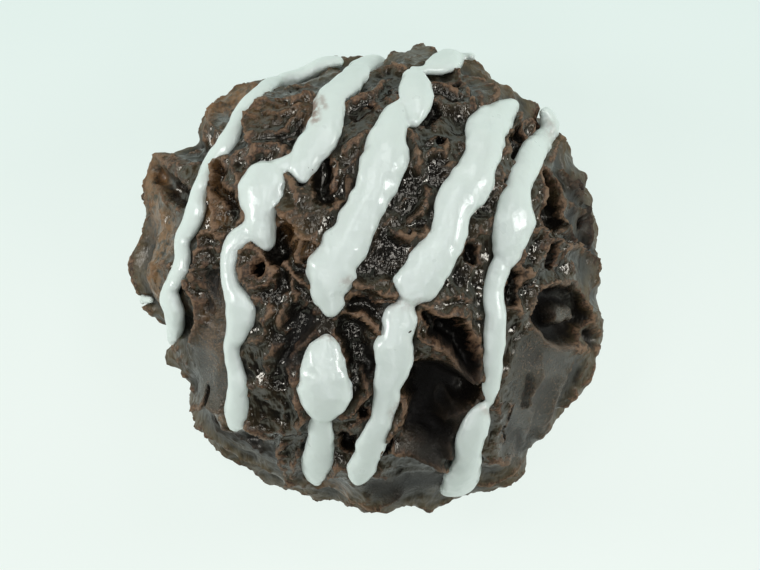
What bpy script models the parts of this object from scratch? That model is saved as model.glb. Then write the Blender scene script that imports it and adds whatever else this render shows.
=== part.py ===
"""A hand-rolled dark chocolate praline with white icing drizzled over it, as one closed solid.

The coating was dabbed on by hand, so its skin is a web of thin crests with smooth hollows between them.
Sizes are in millimetres and become metres when a mesh is made. +X is right and +Y is up in the picture
from above, +Z is up, and the origin is the middle of the base.
"""

import math

import bmesh
import bpy
import numpy as np
from mathutils import Vector, noise
from mathutils.bvhtree import BVHTree

MM = 0.001

# Driving dimensions of the praline, in millimetres
BELLY_RADIUS = 15.1
BELLY_HEIGHT = 7.0
TOP_HEIGHT = 22.6
BOTTOM_DEPTH = 9.6
SHOULDER = 2.45
APEX_SHIFT = (-0.6, 0.7)
BASE_SHIFT = (0.0, -0.1)

# Places below are pixels of the photograph, which looks straight down on the praline
PHOTO_MIDDLE = (366.5, 281.5)
PIXELS_PER_MM = 14.84
CAMERA_HEIGHT = 500.0

# How far the outline lies from the middle, every 15 degrees from +X towards +Y, as a share of the belly
OUTLINE = (1.00, 1.01, 1.02, 1.05, 1.04, 1.04, 0.95, 0.94, 0.96, 0.99, 1.02, 0.96,
           0.99, 0.89, 0.89, 0.96, 0.95, 0.93, 0.99, 0.99, 1.03, 1.03, 1.03, 1.01)

# Narrower lumps and notches in the outline: azimuth and half width in degrees, and how far out or in they go
# as a share of the belly
RIM_LUMPS = {
    "dip above the right": (7.5, 4.0, -0.03),
    "lump on the right": (22.5, 4.0, 0.025),
    "dip at the top": (84.0, 4.0, -0.03),
    "lump at the top": (120.0, 5.0, 0.03),
    "notch in the upper left rim": (142.0, 4.5, -0.09),
    "lump on the left": (157.0, 4.0, 0.025),
    "dip by the first line": (194.0, 5.0, -0.045),
    "dip at the bottom": (262.0, 5.0, -0.035),
    "nub at the bottom": (277.0, 4.0, 0.03),
    "lump at the lower right": (307.0, 4.0, 0.03),
    "dip at the lower right": (315.0, 4.0, -0.025),
}

# The pattern of crests all over: wavelength and height of each layer, in millimetres
CRAG_LAYERS = ((5.2, 1.25), (2.5, 0.65), (1.25, 0.22))
CRAG_WARP = (3.1, 1.1)
CRAG_SEED = 7
CRAG_SHARPNESS = 2.2

# Grid squares along each side of the six that make the first sphere, and the share of triangles kept
SPHERE_CUTS = 57
BODY_KEPT = 0.165

# Crests that stand out: width, the way the top leans (right, up), then places and heights along the crest
CRESTS = {
    "upper left slab, top edge": (0.55, (0.0, 0.0), ((243, 112, 0.7), (256, 99, 1.0), (303, 96, 1.1))),
    "upper left slab, right edge": (0.5, (0.1, 0.0), ((306, 98, 1.0), (304, 130, 0.6))),
    "long slanting crest": (0.6, (0.0, -0.3), ((203, 163, 1.3), (246, 148, 1.0), (300, 120, 0.7))),
    "left slab": (0.5, (0.0, 0.0), ((204, 165, 1.2), (224, 203, 1.0), (243, 222, 0.9))),
    "left slab, inner edge": (0.5, (0.0, 0.0), ((236, 172, 0.6), (244, 212, 1.0), (240, 231, 0.7))),
    "left ledge": (0.55, (-0.2, 0.0), ((228, 240, 0.8), (192, 236, 1.0), (185, 272, 0.8))),
    "crater by the second line": (0.45, (0.0, 0.0), ((236, 246, 0.8), (258, 249, 1.0), (270, 267, 1.0),
                                                     (250, 287, 0.9), (241, 272, 0.7))),
    "wing, upper arm": (0.5, (0.0, 0.0), ((284, 173, 0.7), (300, 200, 0.9), (318, 206, 0.5))),
    "wing, lower edge": (0.45, (-0.2, -0.6), ((278, 217, 1.5), (303, 240, 1.3), (328, 237, 0.7))),
    "wing, tail": (0.4, (0.0, 0.0), ((303, 240, 1.1), (292, 256, 0.9), (312, 290, 0.8))),
    "bridge": (0.5, (0.0, -0.4), ((346, 284, 0.9), (380, 294, 1.1), (400, 302, 1.1))),
    "bridge, lower lip": (0.45, (0.0, -0.2), ((345, 312, 1.0), (380, 332, 0.7))),
    "open beak, right edge": (0.5, (-0.2, -0.4), ((422, 303, 1.1), (462, 320, 1.3), (481, 362, 1.3),
                                                  (479, 391, 1.6))),
    "open beak, lower edge": (0.5, (0.0, -0.6), ((416, 332, 0.9), (440, 355, 1.2), (479, 391, 1.6))),
    "front arch": (0.5, (0.0, -0.2), ((380, 462, 1.0), (405, 456, 0.9), (447, 474, 1.0))),
    "front left ribs": (0.55, (0.0, 0.0), ((292, 380, 0.6), (307, 420, 0.9), (297, 464, 0.9))),
    "middle left rib": (0.6, (0.0, 0.0), ((262, 296, 0.6), (268, 318, 0.9), (252, 347, 0.6))),
    "top crest": (0.6, (0.0, 0.0), ((350, 103, 0.7), (378, 76, 0.9), (408, 68, 0.9))),
    "top right knob": (0.9, (0.0, 0.0), ((480, 78, 0.8), (497, 90, 1.1))),
    "lobe behind the third line": (0.9, (0.0, 0.1), ((438, 49, 0.9), (452, 46, 1.1), (470, 57, 0.9))),
    "rim by the fifth line": (0.6, (0.0, 0.0), ((540, 108, 0.5), (556, 112, 0.9), (563, 128, 0.9))),
    "right spine": (0.5, (0.1, 0.0), ((547, 165, 0.8), (565, 212, 1.1), (582, 242, 1.1))),
    "right outer rim": (0.6, (0.2, 0.0), ((572, 178, 0.9), (594, 200, 1.1), (597, 245, 1.0))),
    "right shelf": (0.55, (0.0, 0.0), ((529, 234, 0.9), (545, 229, 1.1), (597, 255, 1.0), (603, 278, 1.1))),
    "right bowl, upper rim": (0.5, (0.0, 0.0), ((528, 298, 0.5), (556, 281, 0.8), (600, 330, 0.9))),
    "right bowl, lower rim": (0.6, (0.0, 0.0), ((545, 346, 0.6), (600, 345, 0.9))),
    "lower left shelf": (0.55, (0.0, -0.2), ((190, 416, 1.1), (215, 416, 0.9), (262, 441, 0.6))),
    "left outer crest": (0.6, (0.0, 0.0), ((150, 160, 0.9), (168, 184, 0.9), (155, 230, 0.7))),
}

# Hollows between the crests: radius, then places and depths along the hollow
HOLLOWS = {
    "under the wing": (0.95, ((285, 240, 1.6), (275, 258, 1.4))),
    "below the bridge": (1.1, ((352, 330, 1.1), (362, 372, 1.3))),
    "inside the beak": (1.15, ((438, 330, 1.5), (462, 352, 1.6))),
    "cave under the beak": (1.9, ((428, 383, 2.3), (464, 396, 2.2))),
    "cave's lower wall": (1.5, ((428, 425, 1.5), (432, 450, 1.2))),
    "behind the front drop": (0.9, ((345, 440, 1.5), (343, 455, 1.3))),
    "middle left gully": (0.9, ((308, 322, 1.0), (282, 370, 0.9))),
    "upper gully": (0.9, ((328, 180, 1.1), (342, 168, 1.0))),
    "right pocket": (1.2, ((545, 198, 1.7), (556, 227, 1.5))),
    "right outer pocket": (1.1, ((576, 193, 1.1), (582, 224, 0.9))),
    "right bowl": (1.8, ((555, 314, 1.7),)),
    "pocket by the fifth line": (0.8, ((515, 143, 1.1), (510, 154, 1.0))),
    "left pocket": (0.9, ((182, 198, 1.1), (178, 180, 0.8))),
}

# White icing, laid on from above in lines. Its section is a flattened round, and its middle lies out of the
# settled skin by a share of its half width. Below are the places and the width in millimetres along each
# line.
ICING_RISE = 0.2
ICING_FLATNESS = 0.8
DRIZZLE = {
    "first line": ((340, 59, 0.9), (328, 60, 1.5), (314, 62, 1.8), (292, 68, 1.8), (274, 82, 1.7),
                   (255, 100, 1.6), (242, 114, 1.3), (234, 130, 1.4), (225, 146, 1.6), (214, 160, 1.6),
                   (204, 180, 1.1), (199, 195, 1.2), (196, 210, 1.6), (192, 222, 1.6), (185, 235, 1.4),
                   (182, 247, 1.2), (183, 259, 1.4), (180, 272, 1.3), (171, 289, 1.3), (172, 301, 1.8),
                   (175, 311, 2.0), (176, 321, 1.9), (175, 331, 1.5), (172, 341, 0.8)),
    "second line, top": ((378, 50, 1.8), (364, 67, 2.0), (346, 86, 2.0), (331, 101, 2.2), (328, 120, 2.3),
                         (320, 138, 2.5), (309, 154, 2.4), (303, 170, 1.8), (303, 181, 0.8)),
    "second line, link": ((302, 158, 1.4), (284, 166, 1.2), (270, 173, 1.6)),
    "second line, middle": ((263, 168, 2.0), (263, 178, 3.0), (263, 190, 3.3), (262, 203, 2.9),
                            (261, 215, 2.2), (261, 227, 2.4), (264, 238, 1.9), (268, 248, 1.0)),
    "second line, lower": ((258, 226, 1.4), (247, 234, 1.6), (236, 243, 1.5), (230, 254, 1.3),
                           (229, 266, 1.2), (230, 278, 1.2), (233, 290, 1.4), (240, 303, 2.0),
                           (241, 315, 2.0), (238, 330, 1.6), (232, 345, 1.1), (233, 358, 1.1),
                           (236, 370, 1.2), (238, 382, 1.4), (238, 395, 1.6), (237, 408, 1.8),
                           (236, 418, 1.8), (235, 427, 0.9)),
    "third line, cap": ((411, 68, 0.3), (424, 70, 0.6), (436, 67, 1.6), (446, 62, 2.1), (457, 56, 1.5),
                        (467, 56, 0.9), (473, 60, 0.5)),
    "third line, top": ((414, 74, 1.2), (416, 88, 2.1), (417, 100, 2.1), (417, 112, 1.6), (413, 122, 0.9),
                        (412, 128, 0.4)),
    "third line": ((402, 102, 0.6), (395, 113, 1.5), (392, 125, 2.1), (388, 140, 2.6), (386, 155, 3.1),
                   (381, 168, 3.0), (377, 182, 2.8), (372, 196, 2.5), (364, 210, 2.6), (358, 222, 2.7),
                   (353, 234, 2.8), (344, 246, 3.1), (337, 258, 3.0), (332, 271, 3.5), (331, 283, 3.0),
                   (329, 293, 2.4), (331, 304, 2.0), (331, 315, 0.8)),
    "third line, lower": ((326, 336, 0.6), (325, 346, 1.7), (324, 356, 2.4), (323, 368, 2.9),
                          (325, 380, 3.4), (325, 392, 3.8), (324, 402, 3.4), (323, 411, 2.2),
                          (322, 417, 1.1)),
    "third line, end": ((320, 414, 1.2), (321, 430, 1.9), (321, 440, 1.8), (319, 452, 2.0), (317, 462, 2.2),
                        (315, 473, 1.6), (317, 482, 0.7)),
    "fourth line": ((515, 104, 0.8), (503, 113, 2.0), (490, 125, 2.8), (485, 140, 2.9), (483, 155, 2.5),
                    (478, 168, 2.5), (474, 180, 3.0), (464, 192, 2.9), (455, 205, 2.6), (452, 218, 2.5),
                    (450, 230, 2.5), (446, 242, 2.5), (438, 254, 2.9), (428, 266, 3.0), (421, 278, 3.0),
                    (412, 290, 2.8), (407, 299, 1.6)),
    "fourth line, lower": ((405, 303, 1.4), (402, 313, 2.2), (400, 325, 2.4), (396, 336, 2.1),
                           (394, 347, 2.8), (394, 360, 2.6), (392, 372, 2.3), (388, 385, 1.9),
                           (387, 397, 1.9), (384, 410, 1.6), (382, 422, 1.6), (376, 434, 1.8),
                           (371, 445, 1.9), (367, 457, 1.8), (362, 468, 1.9), (359, 477, 1.4),
                           (358, 482, 0.7)),
    "fifth line": ((552, 103, 0.8), (551, 112, 1.9), (551, 121, 1.7), (550, 131, 1.3), (540, 143, 1.6),
                   (532, 155, 2.0), (527, 168, 1.9), (521, 180, 1.9), (518, 192, 2.0), (516, 205, 2.4),
                   (516, 218, 2.9), (512, 232, 2.8), (509, 245, 2.4), (509, 256, 2.0), (508, 265, 1.1)),
    "fifth line, lower": ((504, 260, 1.4), (499, 272, 1.5), (495, 285, 1.4), (494, 300, 1.4),
                          (496, 315, 1.6), (495, 335, 1.6), (494, 352, 1.4), (493, 370, 1.4),
                          (492, 385, 1.3), (491, 397, 0.8), (490, 405, 0.4)),
    "fifth line, end": ((485, 404, 0.6), (480, 414, 1.6), (476, 425, 2.0), (471, 438, 2.1), (469, 452, 2.0),
                        (466, 464, 2.1), (462, 475, 2.8), (460, 485, 2.7), (459, 496, 0.9)),
    "loose drop": ((139, 300, 0.6), (146, 300, 0.8), (152, 300, 0.5)),
}
RINGS_PER_MM = 0.95
RING_SIDES = 10


def smooth_step(x):
    """0 below 0, 1 above 1 and smooth between."""
    x = np.clip(x, 0.0, 1.0)
    return x * x * (3.0 - 2.0 * x)


def shell(directions):
    """The plain dome's points along unit directions from its belly's middle, and its outward normals."""
    flat = np.maximum(np.hypot(directions[:, 0], directions[:, 1]), 1e-9)
    rise = directions[:, 2]
    height = np.where(rise > 0.0, TOP_HEIGHT - BELLY_HEIGHT, BOTTOM_DEPTH)
    angle = np.degrees(np.arctan2(directions[:, 1], directions[:, 0])) % 360.0
    step = 360.0 / len(OUTLINE)
    share = np.interp(angle, np.arange(len(OUTLINE) + 1) * step, OUTLINE + OUTLINE[:1])
    for azimuth, spread, height_share in RIM_LUMPS.values():
        away = (angle - azimuth + 180.0) % 360.0 - 180.0
        share = share + height_share * np.exp(-((away / spread) ** 2))
    belly = BELLY_RADIUS * (1.0 + (share - 1.0) * smooth_step(flat * 1.6 - 0.6))
    reach = ((flat / belly) ** SHOULDER + (np.abs(rise) / height) ** SHOULDER) ** (-1.0 / SHOULDER)
    points = directions * reach[:, None]
    out = (flat * reach / belly) ** (SHOULDER - 1.0) / belly
    up = np.sign(rise) * (np.abs(points[:, 2]) / height) ** (SHOULDER - 1.0) / height
    normals = np.column_stack((directions[:, 0] / flat * out, directions[:, 1] / flat * out, up))
    normals /= np.linalg.norm(normals, axis=1)[:, None]
    lean = np.clip(points[:, 2] / (TOP_HEIGHT - BELLY_HEIGHT), 0.0, 1.0)
    points[:, 0] += APEX_SHIFT[0] * lean + BASE_SHIFT[0]
    points[:, 1] += APEX_SHIFT[1] * lean + BASE_SHIFT[1]
    points[:, 2] += BELLY_HEIGHT
    return points, normals


def place(u, v):
    """The direction from the belly's middle to what the photograph shows at pixel u, v."""
    rise = TOP_HEIGHT - BELLY_HEIGHT
    z = rise
    for _ in range(30):
        closer = 1.0 - z / (CAMERA_HEIGHT - BELLY_HEIGHT)
        x = (u - PHOTO_MIDDLE[0]) / PIXELS_PER_MM * closer - BASE_SHIFT[0]
        y = (PHOTO_MIDDLE[1] - v) / PIXELS_PER_MM * closer - BASE_SHIFT[1]
        lean = z / rise
        across = min(math.hypot(x - APEX_SHIFT[0] * lean, y - APEX_SHIFT[1] * lean) / BELLY_RADIUS, 0.985)
        z = 0.5 * z + 0.5 * rise * (1.0 - across**SHOULDER) ** (1.0 / SHOULDER)
    found = np.array((x - APEX_SHIFT[0] * z / rise, y - APEX_SHIFT[1] * z / rise, z))
    return found / np.linalg.norm(found)


def pixel_of(x, y, z):
    """Where the photograph shows a point, given in millimetres."""
    closer = (CAMERA_HEIGHT - z) / (CAMERA_HEIGHT - BELLY_HEIGHT)
    return (PHOTO_MIDDLE[0] + x / closer * PIXELS_PER_MM, PHOTO_MIDDLE[1] - y / closer * PIXELS_PER_MM)


def line_on_shell(stops, lifts, lean=(0.0, 0.0)):
    """The stops' places on the plain dome, so that the photograph shows them there once they are lifted."""
    aims = [(stop[0], stop[1]) for stop in stops]
    points, normals = shell(np.array([place(*aim) for aim in aims]))
    for _ in range(3):
        tops = points + normals * np.array(lifts)[:, None] + (lean[0], lean[1], 0.0)
        seen = [pixel_of(*top) for top in tops]
        aims = [(aim[0] + stop[0] - u, aim[1] + stop[1] - v)
                for aim, stop, (u, v) in zip(aims, stops, seen)]
        points, normals = shell(np.array([place(*aim) for aim in aims]))
    return points


def along(points, steps):
    """A smooth curve through points, given as an array of rows, as steps + 1 rows evenly spread."""
    rows = np.vstack((2.0 * points[0] - points[1], points, 2.0 * points[-1] - points[-2]))
    curve = []
    for place_now in np.linspace(0.0, len(points) - 1.0, steps + 1):
        i = min(int(place_now), len(points) - 2)
        t = place_now - i
        a, b, c, d = rows[i : i + 4]
        curve.append(0.5 * (2 * b + (c - a) * t + (2 * a - 5 * b + 4 * c - d) * t**2
                            + (3 * b - a - 3 * c + d) * t**3))
    return np.array(curve)


def nearest_on(points, stops, values):
    """Distance from each point to the line through stops, and the value there."""
    best = np.full(len(points), np.inf)
    value = np.zeros(len(points))
    for i in range(max(len(stops) - 1, 1)):
        start, end = stops[i], stops[min(i + 1, len(stops) - 1)]
        run = end - start
        t = np.clip((points - start) @ run / max(run @ run, 1e-9), 0.0, 1.0)
        distance = np.linalg.norm(points - start - t[:, None] * run, axis=1)
        closer = distance < best
        best[closer] = distance[closer]
        last = values[min(i + 1, len(values) - 1)]
        value[closer] = values[i] + t[closer] * (last - values[i])
    return best, value


def crag_noise(points):
    """The height of the web of crests at each point: sharp on the crests and smooth in the hollows."""
    warp_size, warp_reach = CRAG_WARP
    heights = np.zeros(len(points))
    for row, point in enumerate(points):
        spot = Vector(point)
        spot = spot + noise.noise_vector(spot / warp_size) * warp_reach
        weight = 1.0
        for size, height in CRAG_LAYERS:
            ridge = 1.0 - min(1.0, abs(noise.noise(spot / size)) * CRAG_SHARPNESS)
            ridge *= ridge
            heights[row] += (ridge - 0.3) * height * weight
            weight = 0.35 + 0.65 * ridge
    return heights


def relief(directions):
    """The craggy skin's points, in millimetres, along unit directions from the belly's middle."""
    noise.seed_set(CRAG_SEED)
    points, normals = shell(directions)
    lift = crag_noise(points)
    shift = np.zeros_like(points)
    crest_lift = np.zeros(len(points))
    for width, lean, stops in CRESTS.values():
        heights = [h for _, _, h in stops]
        distance, height = nearest_on(points, line_on_shell(stops, heights, lean), heights)
        share = np.exp(-((distance / width) ** 1.3))
        crest_lift = np.maximum(crest_lift, share * height)
        shift[:, 0] += lean[0] * share
        shift[:, 1] += lean[1] * share
    depth = np.zeros(len(points))
    for radius, stops in HOLLOWS.values():
        line = shell(np.array([place(u, v) for u, v, _ in stops]))[0]
        distance, deep = nearest_on(points, line, [d for _, _, d in stops])
        depth = np.maximum(depth, deep * (1.0 - smooth_step(distance / radius)))
    calm = 1.0 - 0.5 * smooth_step(crest_lift + depth)
    lift = lift * calm + crest_lift - depth
    return points + normals * lift[:, None] + shift


def object_from(name, points, faces):
    """A mesh object with its points given in millimetres."""
    mesh = bpy.data.meshes.new(name)
    mesh.from_pydata([tuple(p) for p in np.asarray(points) * MM], [], faces)
    made = bpy.data.objects.new(name, mesh)
    bpy.context.scene.collection.objects.link(made)
    return made


def keep_changes(target):
    """Makes what the modifiers do part of the mesh, and drops the modifiers."""
    graph = bpy.context.evaluated_depsgraph_get()
    finished = bpy.data.meshes.new_from_object(target.evaluated_get(graph))
    target.modifiers.clear()
    target.data = finished


def make_body():
    """The chocolate: a sphere of even squares pushed out to the craggy skin and cut flat underneath."""
    form = bmesh.new()
    bmesh.ops.create_cube(form, size=2.0)
    bmesh.ops.subdivide_edges(form, edges=form.edges[:], cuts=SPHERE_CUTS, use_grid_fill=True)
    corners = np.array([v.co for v in form.verts])
    directions = np.tan(corners * math.pi / 4.0)
    directions /= np.linalg.norm(directions, axis=1)[:, None]
    for vertex, point in zip(form.verts, relief(directions)):
        vertex.co = Vector(point) * MM
    mesh = bpy.data.meshes.new("praline")
    form.to_mesh(mesh)
    form.free()
    body = bpy.data.objects.new("praline", mesh)
    bpy.context.scene.collection.objects.link(body)
    thinner = body.modifiers.new("fewer faces", "DECIMATE")
    thinner.ratio = BODY_KEPT
    keep_changes(body)

    form = bmesh.new()
    form.from_mesh(body.data)
    everything = form.verts[:] + form.edges[:] + form.faces[:]
    cut = bmesh.ops.bisect_plane(form, geom=everything, dist=1e-7, plane_co=(0.0, 0.0, 0.0),
                                 plane_no=(0.0, 0.0, 1.0), clear_inner=True)
    rim = [e for e in cut["geom_cut"] if isinstance(e, bmesh.types.BMEdge)]
    bmesh.ops.contextual_create(form, geom=rim)
    bmesh.ops.recalc_face_normals(form, faces=form.faces[:])
    form.to_mesh(body.data)
    form.free()
    return body


def skin_finder(body):
    """A function that gives how far the smoothed skin lies from the belly's middle in a direction."""
    smoothed = body.copy()
    smoothed.data = body.data.copy()
    bpy.context.scene.collection.objects.link(smoothed)
    calmer = smoothed.modifiers.new("settle", "SMOOTH")
    calmer.factor = 0.5
    calmer.iterations = 6
    keep_changes(smoothed)
    tree = BVHTree.FromPolygons([v.co / MM for v in smoothed.data.vertices],
                                [p.vertices for p in smoothed.data.polygons])
    bpy.data.objects.remove(smoothed)
    middle = Vector((BASE_SHIFT[0], BASE_SHIFT[1], BELLY_HEIGHT))

    def reach(direction):
        return middle, tree.ray_cast(middle, Vector(direction))[3]

    return reach


def laid_centre(u, v, reach, lift):
    """The place above the skin that the photograph shows at pixel u, v, and the dome's normal there."""
    aim_u, aim_v = u, v
    for _ in range(6):
        way = place(aim_u, aim_v)
        middle, distance = reach(way)
        centre = middle + Vector(way) * (distance + lift)
        seen_u, seen_v = pixel_of(*centre)
        aim_u += u - seen_u
        aim_v += v - seen_v
    return centre, Vector(shell(way[None, :])[1][0])


def make_icing_piece(name, stops, reach):
    """One run of icing: rings of a flattened round section along the skin, with domed ends."""
    rows = np.array(stops)
    length = np.linalg.norm(np.diff(rows[:, :2], axis=0), axis=1).sum() / PIXELS_PER_MM
    steps = max(3, round(length * RINGS_PER_MM))
    rows = along(rows, steps)
    halves = rows[:, 2] / 2.0
    laid = [laid_centre(u, v, reach, ICING_RISE * half) for (u, v, _), half in zip(rows, halves)]
    centres = [centre for centre, _ in laid]
    points = []
    for i, centre in enumerate(centres):
        run = (centres[min(i + 1, steps)] - centres[max(i - 1, 0)]).normalized()
        side = run.cross(laid[i][1]).normalized()
        out = side.cross(run)
        for k in range(RING_SIDES):
            turn = 2.0 * math.pi * k / RING_SIDES
            points.append(centre + side * math.cos(turn) * halves[i]
                          + out * math.sin(turn) * halves[i] * ICING_FLATNESS)
    for i, sign in ((0, -1.0), (steps, 1.0)):
        run = (centres[max(i, 1)] - centres[max(i, 1) - 1]).normalized() * sign
        points.append(centres[i] + run * halves[i] * 0.6)
    faces = []
    for i in range(steps):
        for k in range(RING_SIDES):
            a, b = i * RING_SIDES + k, i * RING_SIDES + (k + 1) % RING_SIDES
            faces.append((a, b, b + RING_SIDES, a + RING_SIDES))
    first, last = len(points) - 2, len(points) - 1
    for k in range(RING_SIDES):
        after = (k + 1) % RING_SIDES
        faces.append((after, k, first))
        faces.append((steps * RING_SIDES + k, steps * RING_SIDES + after, last))
    piece = object_from(name, points, faces)
    form = bmesh.new()
    form.from_mesh(piece.data)
    bmesh.ops.triangulate(form, faces=form.faces[:])
    bmesh.ops.recalc_face_normals(form, faces=form.faces[:])
    form.to_mesh(piece.data)
    form.free()
    return piece


def fuse(body, pieces):
    """Joins the icing to the chocolate with one union, and drops any loose scrap."""
    group = bpy.data.collections.new("icing")
    bpy.context.scene.collection.children.link(group)
    for piece in pieces:
        bpy.context.scene.collection.objects.unlink(piece)
        group.objects.link(piece)
    union = body.modifiers.new("icing on chocolate", "BOOLEAN")
    union.operation = "UNION"
    union.operand_type = "COLLECTION"
    union.collection = group
    union.solver = "MANIFOLD"
    keep_changes(body)
    for piece in pieces:
        bpy.data.objects.remove(piece)
    bpy.data.collections.remove(group)


def drop_scraps(body):
    """Keeps the largest closed shape and deletes any scrap that the union left beside it."""
    form = bmesh.new()
    form.from_mesh(body.data)
    waiting = set(form.verts)
    islands = []
    while waiting:
        edge_of_search = [waiting.pop()]
        island = list(edge_of_search)
        while edge_of_search:
            for edge in edge_of_search.pop().link_edges:
                for corner in edge.verts:
                    if corner in waiting:
                        waiting.remove(corner)
                        edge_of_search.append(corner)
                        island.append(corner)
        islands.append(island)
    islands.sort(key=len)
    for island in islands[:-1]:
        bmesh.ops.delete(form, geom=island, context="VERTS")
    form.to_mesh(body.data)
    form.free()


def chocolate_material():
    """Dark chocolate with a soft gloss."""
    material = bpy.data.materials.new("dark chocolate")
    material.use_nodes = True
    shader = material.node_tree.nodes["Principled BSDF"]
    shader.inputs["Base Color"].default_value = (0.035, 0.018, 0.012, 1.0)
    shader.inputs["Roughness"].default_value = 0.4
    shader.inputs["Metallic"].default_value = 0.0
    return material


def main():
    for old in list(bpy.data.objects):
        bpy.data.objects.remove(old)
    body = make_body()
    reach = skin_finder(body)
    pieces = [make_icing_piece(f"icing {name}", stops, reach) for name, stops in DRIZZLE.items()]
    fuse(body, pieces)
    drop_scraps(body)
    body.data.materials.clear()
    body.data.materials.append(chocolate_material())
    body.data.shade_smooth()
    body.data.set_sharp_from_angle(angle=math.radians(50.0))
    print("triangles", sum(len(p.vertices) - 2 for p in body.data.polygons))


main()
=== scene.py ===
"""The looks of a hand-rolled dark chocolate praline with white icing drizzled over it.

The file is laid out as a Blender add-on and is run as a script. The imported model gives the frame; the craggy
chocolate and the icing are modelled here at full detail in the same place. Tables of places are in pixels of
the photograph, which looks straight down, and lengths in the tables are millimetres.
"""

import math

import bpy
import numpy as np
from bpy.props import FloatProperty, FloatVectorProperty, IntProperty, PointerProperty
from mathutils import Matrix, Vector, noise
from mathutils.bvhtree import BVHTree


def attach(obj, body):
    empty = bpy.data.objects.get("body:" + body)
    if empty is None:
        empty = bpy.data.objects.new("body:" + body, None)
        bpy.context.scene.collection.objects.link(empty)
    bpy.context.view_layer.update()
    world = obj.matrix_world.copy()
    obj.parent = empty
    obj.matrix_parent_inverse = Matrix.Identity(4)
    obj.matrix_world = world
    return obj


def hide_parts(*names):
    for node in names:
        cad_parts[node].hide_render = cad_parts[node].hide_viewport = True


bl_info = {
    "name": "Chocolate praline",
    "version": (1, 0, 0),
    "blender": (4, 5, 0),
    "location": "3D View > Sidebar > Praline",
    "description": "Models a craggy dark chocolate praline with drizzled white icing",
    "category": "Add Mesh",
}

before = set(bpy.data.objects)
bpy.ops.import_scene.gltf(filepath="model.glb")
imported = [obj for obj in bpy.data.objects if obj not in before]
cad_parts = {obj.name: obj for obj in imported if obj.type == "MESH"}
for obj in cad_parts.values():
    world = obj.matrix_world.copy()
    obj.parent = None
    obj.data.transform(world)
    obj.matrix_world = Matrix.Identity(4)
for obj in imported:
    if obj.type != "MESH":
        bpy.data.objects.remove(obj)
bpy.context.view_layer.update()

MM = 0.001

# The photograph looks straight down: the praline's middle and the size of a millimetre, in pixels
PHOTO_SIZE = (760, 570)
PHOTO_MIDDLE = (366.5, 281.5)
PIXELS_PER_MM = 14.84
CAMERA_HEIGHT = 500.0

# The dome is looked for up to this share of its radius, as it turns away from the camera beyond
DOME_EDGE = 0.985

# The dome's middle moves by this much from the belly to the top, and everywhere, in millimetres
APEX_SHIFT = (-0.6, 0.7)
BASE_SHIFT = (0.0, -0.1)

# How far the outline lies from the middle, every 15 degrees from +X towards +Y, as a share of the belly
OUTLINE = (1.00, 1.01, 1.02, 1.05, 1.04, 1.04, 0.95, 0.94, 0.96, 0.99, 1.02, 0.96,
           0.99, 0.89, 0.89, 0.96, 0.95, 0.93, 0.99, 0.99, 1.03, 1.03, 1.03, 1.01)

# Narrower lumps and notches in the outline: azimuth and half width in degrees, and how far out or in they go
# as a share of the belly
RIM_LUMPS = {
    "dip above the right": (7.5, 4.0, -0.03),
    "lump on the right": (22.5, 4.0, 0.025),
    "dip at the top": (84.0, 4.0, -0.03),
    "lump at the top": (120.0, 5.0, 0.03),
    "notch in the upper left rim": (142.0, 4.5, -0.09),
    "lump on the left": (157.0, 4.0, 0.025),
    "dip by the first line": (194.0, 5.0, -0.045),
    "dip at the bottom": (262.0, 5.0, -0.035),
    "nub at the bottom": (277.0, 4.0, 0.03),
    "lump at the lower right": (307.0, 4.0, 0.03),
    "dip at the lower right": (315.0, 4.0, -0.025),
}

# The pattern of crests all over: its size and height, and the size and reach of its bends, in millimetres.
# A share of its height lies below the plain dome, and on a smooth stretch a share of it is left. The sharper
# the crests are the narrower, and the rounding blunts them.
CRAG_SIZE, CRAG_HEIGHT = 5.2, 1.15
BEND_SIZE, BEND_REACH = 3.1, 1.1
CRAG_BELOW = 0.3
CRAG_WHERE_CALM = 0.4
CRAG_SEED = 7
CRAG_SHARPNESS = 2.2
CRAG_ROUNDING = 0.05

# Scooped hollows with crisp edges between the crests: size and height of each layer, in millimetres
SCOOP_LAYERS = ((3.0, 1.4), (1.4, 0.35))

# Fine wrinkles on top: size and height of each layer, in millimetres, and how narrow their crests are
GRAIN_LAYERS = ((1.1, 0.20), (0.5, 0.10))
GRAIN_SHARPNESS = 2.4

# From the lower to the upper of these heights, in millimetres, the pattern of crests falls to a share of its
# height, as it hardly shows on top, and the wrinkles grow from a share of theirs
WEB_HEIGHTS = (9.0, 14.0)
WEB_ON_TOP = 0.5
GRAIN_ON_SIDES = 0.8

# By the crests and hollows of the tables below the pattern falls to this share of its height
WEB_BY_CRESTS = 0.5

# The wrinkles are highest on the crests, which stand out on this scale, in millimetres. Elsewhere a share of
# them is left, and a larger one from this height, over this much of a rise, in millimetres.
WRINKLED_CREST = 0.25
WRINKLES_ELSEWHERE = 0.3
GRAINY_ABOVE = (13.0, 4.0)

# Below the upper of these heights the crests are blunt, and fully so below the lower, in millimetres
BLUNT_HEIGHTS = (8.0, 13.0)

# How far the skin stands out of its smoothed self where it is marked as a crest, and where it is marked as
# open and no hollow, in millimetres
CREST_MARK = 0.06
OPEN_MARK = 0.5

# Rounds of smoothing that blunt the sides, that the wrinkles, the crest marks and the hollow marks are
# measured against, and that settle the skin under the icing
BLUNT_ROUNDS = 12
WRINKLE_ROUNDS = 60
CREST_ROUNDS = 8
HOLLOW_ROUNDS = 120
SETTLED_ROUNDS = 16

# Squares along each side of the ball that gives the settled skin
SETTLED_SQUARES = 100

# Above the plain dome, in millimetres: the highest that crests reach under the icing, and the icing's middle
ICING_BED = 0.1
ICING_LIFT = 0.35

# A straight crest swings to and fro: size and reach of the swings, in millimetres
SWING_SIZE, SWING_REACH = 1.3, 0.25

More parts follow.
